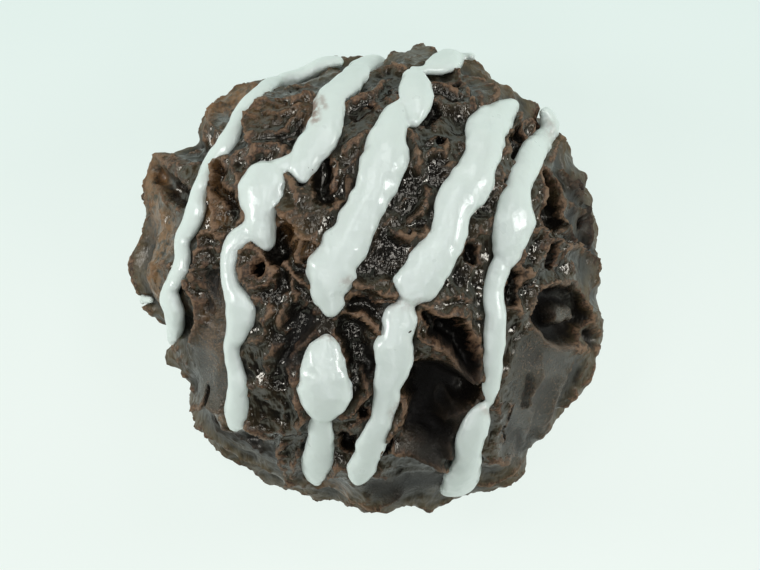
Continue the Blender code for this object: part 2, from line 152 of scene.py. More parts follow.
# A crest's slopes fall off with this power of the distance, and matter up to this many widths away
SLOPE_POWER = 1.25
SLOPE_REACH = 2.6

# Crests: the widths of the slopes on the left and the right of the way they run, the way the top leans
# (right, up), then places and heights along the crest. A narrow slope is a cliff.
CRESTS = {
    "outer left, lower rim": (0.3, 0.8, (0.0, 0.0), (
        (135, 296, 0.7), (131, 275, 0.9), (131, 258, 1.0), (140, 240, 0.7))),
    "outer left, upper rim": (0.3, 1.0, (0.0, 0.0), (
        (148, 222, 0.6), (148, 205, 0.8), (141, 190, 1.0), (140, 179, 1.1), (148, 166, 1.1),
        (160, 158, 1.0), (180, 158, 0.8))),
    "outer left, knob": (0.4, 0.4, (0.0, 0.0), ((186, 150, 0.8), (195, 146, 0.9))),
    "outer left, inner fold": (0.3, 0.5, (0.0, 0.0), ((148, 268, 0.3), (158, 262, 0.4), (168, 268, 0.3))),
    "outer left, lowest rim": (0.3, 0.5, (0.0, 0.0), (
        (176, 350, 0.6), (165, 342, 0.6), (152, 326, 0.8), (142, 305, 0.8))),
    "upper left block, rim": (0.3, 0.9, (0.0, 0.0), (
        (204, 136, 0.7), (206, 120, 0.9), (209, 110, 0.8), (210, 98, 1.1), (222, 91, 1.0), (240, 86, 0.8),
        (257, 81, 0.6))),
    "upper left block, inner": (0.35, 0.35, (0.0, 0.0), ((213, 101, 0.8), (228, 109, 0.6))),
    "upper left block, lower": (0.35, 0.35, (0.0, 0.0), (
        (207, 118, 0.7), (216, 127, 0.7), (209, 140, 0.7))),
    "crag behind the slab": (0.3, 0.5, (0.0, 0.0), ((275, 95, 0.7), (289, 84, 0.7), (306, 83, 0.6))),
    "slab, left edge": (0.2, 1.6, (-0.2, 0.0), (
        (246, 141, 0.9), (241, 125, 1.2), (243, 110, 1.3), (256, 99, 1.1))),
    "slab, top crest": (0.5, 0.22, (0.0, 0.0), (
        (256, 99, 0.9), (283, 97, 1.1), (300, 95, 1.1), (313, 92, 1.1))),
    "slab, middle crest": (0.35, 0.2, (0.0, 0.0), ((262, 113, 0.6), (280, 112, 0.8), (300, 105, 0.7))),
    "slab, lower crest": (0.5, 0.22, (0.0, 0.0), (
        (256, 142, 0.5), (270, 133, 0.8), (285, 125, 0.8), (300, 113, 0.6))),
    "long slanting crest": (0.3, 0.8, (0.0, 0.0), (
        (203, 163, 1.4), (215, 160, 1.1), (232, 157, 0.9), (246, 147, 0.9), (262, 142, 0.9),
        (277, 140, 0.8), (290, 148, 0.6))),
    "left rib": (0.7, 0.2, (-0.15, 0.0), (
        (204, 163, 1.4), (208, 183, 1.1), (206, 200, 1.0), (207, 216, 1.0), (214, 230, 0.8))),
    "left rib, inner": (0.25, 0.3, (0.0, 0.0), ((215, 168, 0.7), (220, 190, 0.8), (223, 208, 0.7))),
    "right rib": (0.22, 0.5, (0.0, 0.0), (
        (229, 160, 0.7), (238, 178, 0.9), (240, 198, 0.9), (244, 214, 1.0), (241, 230, 0.8))),
    "left ledge": (0.5, 0.2, (-0.25, 0.0), (
        (224, 240, 0.7), (212, 231, 1.0), (200, 228, 1.1), (192, 238, 1.2), (191, 252, 1.1),
        (190, 263, 1.1), (185, 272, 1.0), (188, 286, 0.7))),
    "left ledge, foot": (0.5, 0.22, (-0.1, 0.0), (
        (178, 287, 1.0), (188, 300, 0.9), (192, 320, 0.8), (188, 340, 0.7))),
    "left bowl, line": (0.2, 0.3, (0.0, 0.0), (
        (207, 262, 0.4), (203, 280, 0.5), (211, 302, 0.5), (217, 320, 0.3))),
    "crater": (0.3, 0.9, (0.0, 0.0), (
        (236, 247, 0.8), (246, 241, 1.0), (258, 250, 1.1), (270, 261, 1.2), (276, 270, 1.1),
        (264, 284, 1.0), (247, 289, 1.0), (240, 281, 0.9), (241, 264, 0.6))),
    "crater, spur": (0.2, 0.25, (0.0, 0.0), ((240, 266, 0.6), (250, 262, 0.7), (257, 257, 0.7))),
    "gully rib by the second line": (0.35, 0.6, (0.0, 0.0), (
        (260, 298, 0.5), (269, 308, 0.8), (265, 322, 0.9), (268, 334, 0.6), (252, 343, 0.8))),
    "gully rib": (0.35, 0.5, (0.0, 0.0), (
        (288, 296, 0.4), (281, 318, 0.6), (289, 334, 0.4), (276, 352, 0.5))),
    "gully crest": (0.3, 0.3, (0.0, 0.0), ((318, 330, 0.6), (298, 350, 0.7), (288, 376, 0.6))),
    "crag below the second line": (0.5, 0.22, (0.0, 0.0), (
        (284, 172, 0.8), (293, 187, 1.0), (298, 202, 0.9))),
    "wing, plate edge": (1.4, 0.2, (-0.35, -0.35), ((278, 216, 1.5), (290, 228, 1.5), (303, 240, 1.5))),
    "wing, right edge": (1.0, 0.2, (0.0, -0.2), ((303, 240, 1.3), (313, 236, 1.1), (328, 237, 0.8))),
    "wing, tail": (0.3, 0.25, (0.0, 0.0), (
        (303, 240, 1.2), (295, 252, 1.0), (297, 262, 0.9), (306, 263, 0.7))),
    "wing, prong": (0.25, 0.3, (0.0, 0.0), (
        (285, 262, 0.9), (291, 274, 1.0), (300, 281, 1.0), (312, 287, 1.0))),
    "wing, lower prong": (0.25, 0.25, (0.0, 0.0), ((291, 274, 0.9), (292, 290, 0.9), (298, 303, 0.7))),
    "bridge": (0.5, 0.2, (0.0, -0.25), (
        (346, 283, 1.0), (358, 288, 1.1), (375, 293, 1.2), (399, 301, 1.3))),
    "bridge, post": (0.25, 0.25, (0.0, 0.0), ((347, 284, 1.0), (350, 297, 0.8), (344, 312, 0.9))),
    "bridge, lower lip": (0.4, 0.2, (0.0, -0.1), (
        (344, 312, 1.0), (360, 317, 1.0), (372, 327, 0.9), (381, 337, 0.9))),
    "seam in the fourth line": (0.2, 0.2, (0.0, 0.0), ((384, 300, 1.3), (404, 303, 1.5), (426, 303, 1.3))),
    "beak, upper edge": (0.9, 0.18, (0.0, -0.25), (
        (423, 305, 1.1), (434, 314, 1.2), (450, 317, 1.3), (468, 322, 1.4))),
    "beak, plate": (0.5, 0.5, (0.0, 0.0), ((436, 298, 0.8), (452, 295, 0.8), (472, 301, 0.6))),
    "beak, right edge": (0.45, 0.18, (-0.2, 0.0), (
        (468, 322, 1.4), (474, 340, 1.4), (480, 362, 1.4), (482, 387, 1.7))),
    "beak, lower edge": (0.22, 0.25, (0.0, -0.3), (
        (418, 335, 1.0), (430, 349, 1.2), (446, 354, 1.3), (459, 366, 1.4), (470, 380, 1.5),
        (482, 390, 1.7))),
    "beak, left post": (0.25, 0.25, (0.0, 0.0), ((424, 306, 1.0), (420, 320, 0.8), (419, 335, 1.0))),
    "front arch": (0.25, 0.4, (0.0, -0.1), (
        (377, 464, 1.0), (390, 458, 1.1), (405, 457, 1.0), (420, 461, 1.0), (436, 468, 1.1),
        (448, 477, 1.0))),
    "rib by the fourth line": (0.3, 0.25, (0.0, 0.0), (
        (405, 406, 0.8), (400, 424, 1.0), (393, 437, 1.1), (384, 452, 1.0))),
    "rib by the last drop": (0.3, 0.3, (0.0, 0.0), ((447, 420, 0.6), (452, 437, 0.8), (451, 460, 0.9))),
    "rib left of the fourth line": (0.25, 0.3, (0.0, 0.0), (
        (361, 374, 0.8), (367, 389, 1.0), (369, 401, 1.0), (357, 412, 0.9), (342, 424, 0.9))),
    "front nub": (0.45, 0.45, (0.0, 0.0), ((325, 479, 0.9), (336, 473, 1.0))),
    "front left rib": (0.5, 0.2, (0.0, 0.0), ((277, 446, 0.8), (279, 463, 0.9), (290, 485, 0.7))),
    "front left ribs": (0.3, 0.3, (0.0, 0.0), (
        (292, 378, 0.6), (296, 395, 0.7), (302, 420, 0.9), (300, 440, 0.9), (295, 462, 0.9),
        (292, 480, 0.7))),
    "lower left shelf": (0.8, 0.2, (0.0, -0.2), (
        (188, 414, 1.2), (200, 409, 1.1), (220, 416, 0.9), (235, 428, 0.8), (250, 431, 0.7),
        (262, 440, 0.6))),
    "lower left rim": (0.5, 0.4, (0.0, 0.0), ((178, 362, 0.7), (188, 385, 0.6), (192, 402, 0.7))),
    "top crest": (0.5, 0.25, (0.0, 0.0), ((346, 101, 0.7), (358, 93, 0.9), (374, 88, 0.9), (386, 78, 0.8))),
    "top plate": (0.7, 0.5, (0.0, 0.0), ((380, 70, 0.7), (394, 64, 0.8), (406, 66, 0.7))),
    "upper middle rib": (0.3, 0.3, (0.0, 0.0), ((346, 152, 0.7), (351, 141, 0.8), (372, 132, 0.7))),
    "upper gully rib": (0.25, 0.3, (0.0, 0.0), ((334, 158, 0.8), (336, 175, 0.9), (332, 192, 0.7))),
    "upper middle foot": (0.3, 0.3, (0.0, 0.0), ((352, 178, 0.6), (346, 198, 0.8), (330, 209, 0.7))),
    "hole lip": (0.5, 0.2, (0.0, -0.1), ((430, 81, 0.8), (441, 80, 0.9), (455, 84, 1.0), (464, 92, 0.8))),
    "knob's foot": (0.35, 0.4, (0.0, 0.0), (
        (460, 64, 0.9), (468, 78, 0.8), (470, 92, 0.9), (478, 104, 0.9))),
    "third line's rib": (0.3, 0.3, (0.0, 0.0), (
        (410, 124, 0.8), (413, 136, 0.9), (417, 150, 0.9), (422, 168, 0.6))),
    "pore rim": (0.25, 0.2, (0.0, 0.0), (
        (432, 138, 0.7), (441, 133, 0.8), (450, 140, 0.8), (447, 153, 0.7), (435, 151, 0.6))),
    "top right knob": (0.5, 0.9, (0.0, 0.0), (
        (473, 74, 0.8), (486, 77, 1.1), (496, 87, 1.2), (497, 98, 1.1), (489, 105, 0.9))),
    "rib between third and fourth": (0.35, 0.35, (0.0, 0.0), (
        (431, 188, 0.6), (424, 214, 0.7), (410, 222, 0.7))),
    "ledge between third and fourth": (0.6, 0.22, (0.0, 0.0), (
        (392, 229, 0.7), (404, 233, 0.9), (422, 238, 0.9))),
    "lobe behind the third line": (0.8, 0.8, (0.0, 0.1), (
        (438, 49, 0.9), (452, 46, 1.1), (466, 53, 1.0), (476, 62, 0.8))),
    "rim by the fifth line": (0.4, 0.6, (0.0, 0.0), ((540, 108, 0.5), (556, 112, 0.9), (563, 128, 0.9))),
    "top spike": (0.25, 0.25, (0.0, 0.1), ((523, 121, 0.8), (526, 107, 1.2))),
    "pore lip, upper": (0.25, 0.2, (0.0, 0.0), ((528, 120, 1.0), (535, 114, 1.1), (542, 122, 1.0))),
    "pore lip, lower": (0.3, 0.25, (0.0, 0.0), (
        (509, 126, 0.9), (520, 128, 0.8), (528, 137, 0.9), (540, 140, 0.8))),
    "bead by the fifth line": (0.42, 0.42, (0.0, 0.0), ((503, 169, 0.7), (505, 174, 0.7))),
    "rib right of the fifth line": (0.5, 0.3, (0.1, 0.0), (
        (561, 124, 0.9), (560, 140, 0.8), (556, 156, 0.7))),
    "right spine": (0.4, 0.3, (0.0, 0.0), (
        (545, 168, 0.8), (549, 183, 0.9), (558, 201, 1.1), (570, 222, 1.2), (580, 241, 1.2))),
    "right outer rim": (0.3, 0.4, (0.1, 0.0), (
        (566, 168, 0.7), (580, 182, 0.9), (594, 197, 1.1), (597, 215, 1.1), (596, 242, 1.1))),
    "right pocket, rib": (0.3, 0.3, (0.0, 0.0), ((562, 206, 0.8), (576, 204, 0.8), (589, 212, 0.8))),
    "shelf, top": (0.2, 0.5, (0.0, 0.1), (
        (528, 238, 1.1), (535, 229, 1.2), (546, 228, 1.2), (556, 236, 1.2), (572, 243, 1.1),
        (585, 243, 1.0), (598, 256, 1.1))),
    "shelf, left post": (0.25, 0.2, (-0.1, 0.0), (
        (528, 238, 1.1), (528, 254, 1.1), (522, 266, 1.0), (535, 275, 0.9))),
    "shelf, knob": (0.4, 0.4, (0.0, 0.0), ((560, 252, 0.7), (570, 250, 0.8))),
    "shelf, rim": (0.4, 0.5, (0.1, 0.0), ((596, 258, 0.9), (603, 272, 1.0), (597, 286, 0.8))),
    "slot's right edge": (0.2, 0.2, (0.0, 0.0), ((516, 276, 0.8), (517, 302, 0.6))),
    "right bowl, rim": (0.5, 0.35, (0.0, 0.0), (
        (535, 304, 0.6), (546, 288, 0.8), (564, 282, 0.9), (582, 291, 0.9), (592, 312, 0.9),
        (600, 333, 0.9))),
    "right bowl, drop": (0.75, 0.75, (0.0, 0.0), ((555, 316, 0.55),)),
    "right bowl, lower rim": (0.35, 0.6, (0.0, 0.0), (
        (538, 330, 0.6), (554, 343, 0.8), (580, 349, 0.8), (598, 348, 0.9))),
    "flank streak": (0.3, 0.3, (0.0, 0.0), ((512, 405, 0.3), (508, 425, 0.4), (504, 442, 0.3))),
    "flank streak, second": (0.4, 0.4, (0.0, 0.0), ((545, 350, 0.2), (534, 400, 0.35), (524, 446, 0.4))),
    "flank streak, third": (0.5, 0.5, (0.0, 0.0), ((576, 352, 0.3), (560, 390, 0.4), (545, 424, 0.4))),
    "rim lump, right": (0.45, 0.45, (0.1, 0.0), ((592, 366, 0.8), (590, 380, 0.9))),
    "rim lump, second": (0.4, 0.4, (0.1, -0.1), ((573, 396, 0.8), (571, 409, 0.9))),
    "rim lump, third": (0.5, 0.5, (0.0, -0.1), ((552, 428, 0.7), (540, 438, 0.6))),
    "lower right lip": (0.4, 0.25, (0.0, -0.1), ((494, 466, 0.8), (508, 466, 0.9), (518, 458, 0.8))),
    "lower right foot": (0.5, 0.5, (0.0, -0.1), ((524, 472, 0.8), (504, 482, 0.7), (484, 488, 0.8))),
    "front rim": (0.45, 0.45, (0.0, -0.1), ((354, 502, 0.7), (378, 513, 1.0), (398, 502, 0.7))),
}

# The chocolate is browner within about this distance of those crests, in millimetres
BROWN_REACH = 0.55

# Stretches whose chocolate is browner, above 0, or darker with painted shade, below 0: radius, strength and
# places
BROWNS_AND_SHADES = {
    "left block": (2.0, 0.9, ((152, 178), (158, 235), (150, 280))),
    "upper left block": (1.8, 0.9, ((220, 112), (243, 96))),
    "left rib": (1.0, 0.8, ((210, 168), (214, 215))),
    "right rim": (1.5, -0.9, ((584, 192), (588, 240))),
    "right spine": (1.1, -1.0, ((558, 180), (564, 225))),
    "wing": (0.9, 0.6, ((280, 218), (304, 240))),
    "slab": (1.2, 0.35, ((255, 120), (300, 108))),
    "top right knob": (1.0, 0.5, ((478, 82), (494, 98))),
    "front skirt": (1.2, 0.5, ((318, 490), (352, 496))),
    "left flank": (1.6, 0.35, ((206, 312), (207, 345))),
    "front middle": (1.8, -0.8, ((385, 483), (432, 481))),
    "cave": (2.2, -1.0, ((442, 390), (430, 438))),
    "lower left shelf": (0.5, 0.9, ((188, 412), (205, 409), (228, 419), (250, 431))),
    "lower left skirt": (1.3, -1.0, ((206, 430), (228, 440), (255, 452))),
    "gully": (1.6, -0.7, ((300, 318), (282, 348))),
    "middle": (0.8, -0.7, ((348, 176), (346, 202))),
    "inside the beak": (0.75, -1.0, ((436, 324), (452, 336), (464, 356))),
    "left of the fourth line": (0.8, -0.7, ((362, 345), (364, 366))),
    "right bowl, ring": (0.65, -0.8, (
        (545, 300), (560, 293), (577, 305), (574, 325), (557, 332), (543, 322), (545, 300))),
}

# Hollows between the crests: radius, then places and depths along the hollow
HOLLOWS = {
    "under the wing": (0.9, ((285, 236, 1.8), (278, 256, 1.3))),
    "below the bridge": (0.55, ((352, 303, 0.6), (372, 308, 0.6))),
    "below the lower lip": (1.25, ((352, 330, 0.8), (357, 350, 1.1), (362, 368, 0.9))),
    "inside the beak": (0.95, ((444, 328, 1.9), (460, 338, 2.0), (470, 360, 1.2))),
    "left of the beak": (0.45, ((428, 310, 1.1), (432, 330, 0.9))),
    "cave under the beak": (1.6, ((426, 377, 2.8), (440, 381, 3.0), (464, 392, 2.4))),
    "cave, middle": (2.0, ((426, 392, 2.9), (434, 394, 2.9), (428, 412, 2.6))),
    "cave, right": (1.4, ((443, 388, 2.6), (444, 404, 2.4))),
    "cave's lower wall": (1.5, ((421, 424, 2.2), (438, 430, 1.9))),
    "behind the front drop": (0.7, ((346, 440, 1.8), (347, 452, 1.6))),
    "pocket by the rib": (0.5, ((364, 413, 1.3),)),
    "left of the front drop": (0.6, ((304, 428, 0.5), (301, 450, 0.5))),
    "middle left gully": (1.1, ((304, 316, 0.6), (294, 338, 0.5), (280, 380, 0.5))),
    "upper gully": (0.85, ((324, 163, 0.8), (327, 196, 0.9))),
    "gully under the third line's top": (0.6, ((434, 112, 0.9), (424, 124, 0.8))),
    "right pocket": (0.95, ((541, 184, 2.1), (547, 220, 2.1))),
    "right outer pocket": (0.8, ((568, 193, 1.4), (584, 197, 1.3))),
    "right lower pocket": (0.5, ((577, 223, 0.9),)),
    "shelf hollow": (0.6, ((546, 250, 0.9), (550, 262, 0.9))),
    "right bowl": (0.95, (
        (578, 314, 1.7), (572, 299, 1.7), (557, 293, 1.7), (543, 299, 1.7), (537, 313, 1.5),
        (543, 328, 1.4), (557, 334, 1.4), (572, 329, 1.6), (578, 314, 1.7))),
    "right bowl, foot": (0.7, ((578, 336, 0.7),)),
    "slot": (0.5, ((511, 277, 1.4), (510, 300, 1.4))),
    "pocket by the fifth line": (0.65, ((514, 141, 1.3), (509, 157, 1.2))),
    "gully by the fourth line": (0.55, ((472, 248, 1.1), (474, 258, 1.1))),
    "left pocket": (0.95, ((168, 178, 0.9), (184, 196, 1.3))),
    "left bowl": (0.75, ((214, 276, 0.6), (212, 306, 0.5))),
    "groove in the left slab": (0.35, ((223, 170, 1.0), (226, 190, 1.1), (234, 206, 0.8))),
    "under the lower left shelf": (0.8, ((212, 430, 0.6), (250, 444, 0.7))),
    "slit in the left flank": (0.25, ((206, 390, 0.7), (208, 402, 0.7))),
    "slit in the right flank": (0.22, ((508, 403, 0.5), (505, 415, 0.5))),
    "second slit in the right flank": (0.22, ((501, 424, 0.5), (501, 437, 0.5))),
    "dent in the right flank": (0.35, ((526, 376, 0.3), (524, 402, 0.3))),
    "hole in the rib": (0.28, ((391, 438, 1.2), (384, 450, 1.2))),
    "hole below the top lip": (0.3, ((440, 90, 1.2), (456, 92, 1.4))),
}

# The hollows sink this far from square to the skin towards straight down
HOLLOW_DROP = 0.8

# The rims of burst bubbles have this share of the crests' raggedness
PORE_RAGGED = 0.4

# Burst bubbles in the coating: place, radius and depth
PORES = ((261, 270, 0.46, 2.0), (535, 130, 0.55, 2.2), (441, 143, 0.36, 1.6), (372, 105, 0.22, 1.0),
         (399, 97, 0.16, 0.8), (306, 262, 0.24, 1.0), (503, 185, 0.2, 0.9), (303, 83, 0.3, 1.0),
         (292, 84, 0.2, 0.7), (336, 168, 0.16, 0.7), (409, 233, 0.16, 0.7), (525, 287, 0.2, 0.5))

# Smooth stretches, where the pattern of crests is weak: radius, then places along the stretch
CALM_STRETCHES = {
    "right flank": (4.2, ((540, 350), (525, 425))),
    "lower left flank": (2.6, ((204, 345), (208, 385))),
    "left bowl": (1.3, ((212, 275), (212, 310))),
    "front skirt": (2.0, ((385, 484), (430, 484))),
    "cave": (3.0, ((438, 380), (428, 432))),
    "right bowl": (3.4, ((556, 312), (560, 314))),
}

# White icing, laid on from above in lines: places and width in millimetres along each piece
DRIZZLE = {
    "first line, top": ((340, 59, 0.95), (328, 60, 1.5), (314, 62, 1.75), (292, 68, 1.8), (280, 76, 1.35)),
    "first line": (
        (290, 71, 1.5), (274, 82, 1.7), (255, 100, 1.65), (242, 114, 1.3), (234, 130, 1.4), (225, 146, 1.6),
        (214, 160, 1.6), (204, 180, 1.15), (199, 195, 1.2), (196, 210, 1.6), (192, 222, 1.65),
        (185, 235, 1.35), (182, 247, 1.2), (183, 259, 1.35), (180, 272, 1.3), (173, 285, 1.3),
        (171, 293, 1.1)),
    "first line, end": (
        (174, 282, 1.0), (171, 290, 1.3), (171, 301, 1.8), (174, 311, 2.1), (175, 321, 2.1),
        (174, 331, 1.7), (172, 341, 0.8)),
    "second line, top": (
        (378, 50, 1.75), (364, 67, 2.0), (346, 86, 2.0), (331, 101, 2.2), (328, 120, 2.3), (320, 138, 2.45),
        (309, 154, 2.35), (303, 170, 1.8), (303, 181, 0.8)),
    "second line, link": ((302, 158, 1.4), (284, 166, 1.25), (270, 173, 1.6)),
    "second line, middle": (
        (263, 168, 2.0), (263, 178, 2.95), (263, 190, 3.3), (262, 203, 2.85), (261, 215, 2.2),
        (261, 227, 2.35), (264, 238, 1.9), (268, 248, 1.0)),
    "second line, lower": (
        (258, 226, 1.4), (247, 234, 1.6), (236, 243, 1.5), (230, 254, 1.3), (229, 266, 1.2),
        (230, 278, 1.2), (233, 290, 1.35), (240, 303, 2.0), (241, 315, 2.0), (238, 330, 1.65),
        (232, 345, 1.15), (233, 358, 1.15), (236, 370, 1.25), (238, 382, 1.35), (238, 395, 1.55),
        (237, 408, 1.8), (236, 418, 1.75), (235, 427, 0.9)),
    "third line, cap": (
        (411, 68, 0.3), (424, 70, 0.6), (436, 67, 1.55), (446, 62, 2.1), (457, 56, 1.5), (467, 56, 0.9),
        (473, 60, 0.5)),
    "third line, top": (
        (414, 74, 1.4), (416, 86, 2.2), (417, 98, 2.25), (417, 109, 1.85), (414, 118, 1.4),
        (412, 124, 1.0)),
    "third line": (
        (402, 102, 0.55), (395, 113, 1.5), (392, 125, 2.15), (388, 140, 2.65), (386, 155, 3.15),
        (381, 168, 3.05), (377, 182, 2.8), (372, 196, 2.5), (364, 210, 2.65), (358, 222, 2.7),
        (353, 234, 2.75), (344, 246, 3.1), (337, 258, 3.05), (332, 271, 3.5), (331, 283, 2.95),
        (329, 293, 2.4), (331, 304, 2.05), (331, 315, 0.8)),
    "third line, lower": (
        (327, 337, 1.0), (326, 345, 2.05), (324, 356, 2.7), (324, 368, 3.05), (325, 380, 3.45),
        (325, 392, 3.75), (324, 401, 3.4), (323, 409, 2.6), (322, 415, 1.7)),
    "third line, end": (
        (320, 414, 1.2), (321, 430, 1.85), (321, 440, 1.8), (319, 452, 2.0), (317, 462, 2.25),
        (315, 473, 1.65), (317, 482, 0.7)),
    "fourth line": (
        (515, 104, 0.8), (503, 113, 2.0), (490, 125, 2.75), (485, 140, 2.9), (483, 155, 2.45),
        (478, 168, 2.5), (474, 180, 3.0), (464, 192, 2.9), (455, 205, 2.6), (452, 218, 2.45),
        (450, 230, 2.5), (446, 242, 2.55), (438, 254, 2.9), (428, 266, 2.95), (421, 278, 2.95),
        (412, 290, 2.8), (407, 299, 1.6)),
    "fourth line, lower": (
        (405, 303, 1.35), (402, 313, 2.25), (400, 325, 2.4), (396, 336, 2.15), (394, 347, 2.75),
        (394, 360, 2.6), (392, 372, 2.3), (388, 385, 1.95), (387, 397, 1.9), (384, 410, 1.65),
        (382, 422, 1.6), (376, 434, 1.75), (371, 445, 1.95), (367, 457, 1.8), (362, 468, 1.95),
        (359, 477, 1.45), (358, 482, 0.7)),
    "fifth line, top": ((552, 103, 0.8), (551, 112, 1.9), (551, 121, 1.7), (550, 131, 1.3)),
    "fifth line": (
        (551, 124, 0.95), (550, 132, 1.1), (540, 143, 1.65), (532, 155, 2.0), (527, 168, 1.9),
        (521, 180, 1.85), (518, 192, 2.0), (516, 205, 2.4), (516, 218, 2.9), (512, 232, 2.75),
        (509, 245, 2.35), (509, 256, 2.0), (508, 265, 1.1)),
    "fifth line, lower": (
        (504, 260, 1.4), (499, 272, 1.5), (495, 285, 1.4), (494, 300, 1.45), (496, 315, 1.55),
        (495, 335, 1.55), (494, 352, 1.45), (493, 370, 1.35), (492, 385, 1.3), (491, 397, 0.85),
        (490, 405, 0.4)),
    "fifth line, end": (
        (485, 404, 0.6), (480, 414, 1.6), (476, 425, 2.05), (471, 438, 2.15), (469, 452, 2.0),
        (466, 464, 2.15), (462, 475, 2.75), (460, 485, 2.7), (459, 496, 0.95)),
    "loose drop": ((139, 300, 0.55), (146, 300, 0.85), (152, 300, 0.5)),
}

# No icing is narrower than this, in millimetres
NARROWEST_ICING = 0.07

# An icing line is a run of rings, each with this many sides
RINGS_PER_MM = 5.0
RING_SIDES = 24

# Its height is evened out over this many millimetres either way, and is at most this many half widths before
# it is flattened
EVENED_OVER = 1.2
HIGHEST = 1.4

# It swells and narrows: size of each wave in millimetres, and its share
SWELLS = ((0.9, 1.0), (0.4, 0.5))

# Lines at the rim that lie on top of the crests there, and by how many millimetres
ON_CRESTS = {
    "first line, top": 0.4,
    "first line, end": 0.3,
    "third line, cap": 0.25,
    "fifth line, top": 0.65,
    "loose drop": 0.3,
}

# Smears of icing so thin that chocolate shows: half width in millimetres, strength and places
STAINS = ((0.38, 0.85, ((311, 97), (315, 108), (315, 119))), (0.25, 0.6, ((321, 97), (325, 106))),
          (0.5, 0.45, ((309, 247), (303, 256), (298, 268))), (0.4, 0.4, ((394, 414), (402, 404))),
          (0.3, 0.45, ((344, 283), (350, 280))), (0.5, 0.3, ((392, 302), (418, 304))),
          (0.3, 0.5, ((322, 337), (335, 336))), (0.3, 0.45, ((244, 256), (244, 268))),
          (0.4, 0.3, ((550, 122), (550, 136))), (0.4, 0.35, ((484, 408), (489, 412))))

# Loose crumbs of chocolate on the icing: place, length and width in millimetres, and turn in degrees
CRUMBS = ((410, 332, 0.32, 0.10, 35.0), (313, 170, 0.09, 0.08, 0.0), (309, 168, 0.05, 0.05, 0.0))

# Radius of the balls that become crumbs, in millimetres, and the height they are dropped from, in metres
CRUMB_RADIUS = 0.5
DROP_HEIGHT = 0.05

# The praline's top is nearer to the camera than its belly, so it is this much smaller than it looks
TOP_NEARER = 0.97

# Lamps, the wide ones first: azimuth and elevation in degrees, size in metres and power in watts
LAMPS = ((172.0, 30.0, 0.11, 0.72), (12.0, 30.0, 0.11, 0.62), (75.0, 42.0, 0.16, 0.22),
         (205.0, 62.0, 0.07, 0.125), (335.0, 62.0, 0.07, 0.115), (120.0, 58.0, 0.07, 0.115),
         (50.0, 66.0, 0.06, 0.09), (275.0, 48.0, 0.06, 0.09), (145.0, 74.0, 0.06, 0.08),
         (250.0, 72.0, 0.06, 0.08))

# How far the lamps stand from the praline and the height they look at, in metres
LAMP_DISTANCE = 0.4
LAMP_AIM = 0.01

# The floor's side in metres, its glow, and from where to where along +Y its colour changes, in millimetres
FLOOR_SIZE = 1.2
FLOOR_GLOW = 0.87
FLOOR_FADE = (-12.0, 26.0)

# Width of the camera's sensor, in millimetres
SENSOR = 36.0


class PralineForm(bpy.types.PropertyGroup):
    """Sizes of the praline."""

    belly_radius: FloatProperty(name="Belly radius", description="Plain dome's radius at its widest",
                                default=15.1 * MM, unit="LENGTH")
    belly_height: FloatProperty(name="Belly height", description="Height of the widest place above the base",
                                default=7.0 * MM, unit="LENGTH")
    top_height: FloatProperty(name="Top height", description="Height of the plain dome above the base",
                              default=22.6 * MM, unit="LENGTH")
    bottom_depth: FloatProperty(name="Bottom depth", description="How far the ball would go below its belly",
                                default=9.6 * MM, unit="LENGTH")
    shoulder: FloatProperty(name="Shoulder", description="2 is an ellipsoid, and more is fuller",
                            default=2.45)
    squares: IntProperty(name="Squares", description="Squares along the ball's sides, a multiple of 8",
                         default=144)
    icing_rise: FloatProperty(name="Icing rise", description="How far an icing line's middle stands out of "
                              "the settled skin, as a share of its half height", default=0.25)
    icing_flatness: FloatProperty(name="Icing flatness", description="Height of an icing line's section as "
                                  "a share of its width", default=0.68, subtype="FACTOR")
    icing_grid: FloatProperty(name="Icing grid", description="Size of the grid that joins the lines",
                              default=0.127 * MM, unit="LENGTH")


class PralineColours(bpy.types.PropertyGroup):
    """Colours of the praline and the floor, as linear values."""

    # Near black: painted shade in the hollows and the darker stretches, and also the colour of the darker
    # streaks
    hollow: FloatVectorProperty(name="Hollows", description="Glossy chocolate between the crests", size=3,
                                default=(0.006, 0.005, 0.004), subtype="COLOR")
    skin: FloatVectorProperty(name="Skin", description="Chocolate on open slopes", size=3,
                              default=(0.031, 0.022, 0.011), subtype="COLOR")
    side: FloatVectorProperty(name="Sides", description="Duller chocolate on the lower sides", size=3,
                              default=(0.076, 0.054, 0.023), subtype="COLOR")
    crest: FloatVectorProperty(name="Crests", description="Dull chocolate on the crests", size=3,
                               default=(0.115, 0.061, 0.033), subtype="COLOR")
    crest_dark: FloatVectorProperty(name="Crest specks", description="Darker specks in the dull chocolate",
                                    size=3, default=(0.034, 0.017, 0.010), subtype="COLOR")
    ruddy: FloatVectorProperty(name="Brown stretches", description="Browner stretches of chocolate", size=3,
                               default=(0.185, 0.098, 0.040), subtype="COLOR")
    torn: FloatVectorProperty(name="Torn edges", description="Thin torn edges of the crests", size=3,
                              default=(0.22, 0.135, 0.078), subtype="COLOR")
    icing: FloatVectorProperty(name="Icing", description="White icing", size=3,
                               default=(0.695, 0.775, 0.735), subtype="COLOR")
    icing_thin: FloatVectorProperty(name="Thin icing", description="Icing where chocolate shows through it",
                                    size=3, default=(0.26, 0.16, 0.12), subtype="COLOR")
    floor: FloatVectorProperty(name="Near floor", description="Pale floor at the lower edge of the picture",
                               size=3, default=(0.865, 0.955, 0.905), subtype="COLOR")
    floor_far: FloatVectorProperty(name="Far floor", description="Pale floor at the picture's upper edge",
                                   size=3, default=(0.73, 0.865, 0.815), subtype="COLOR")


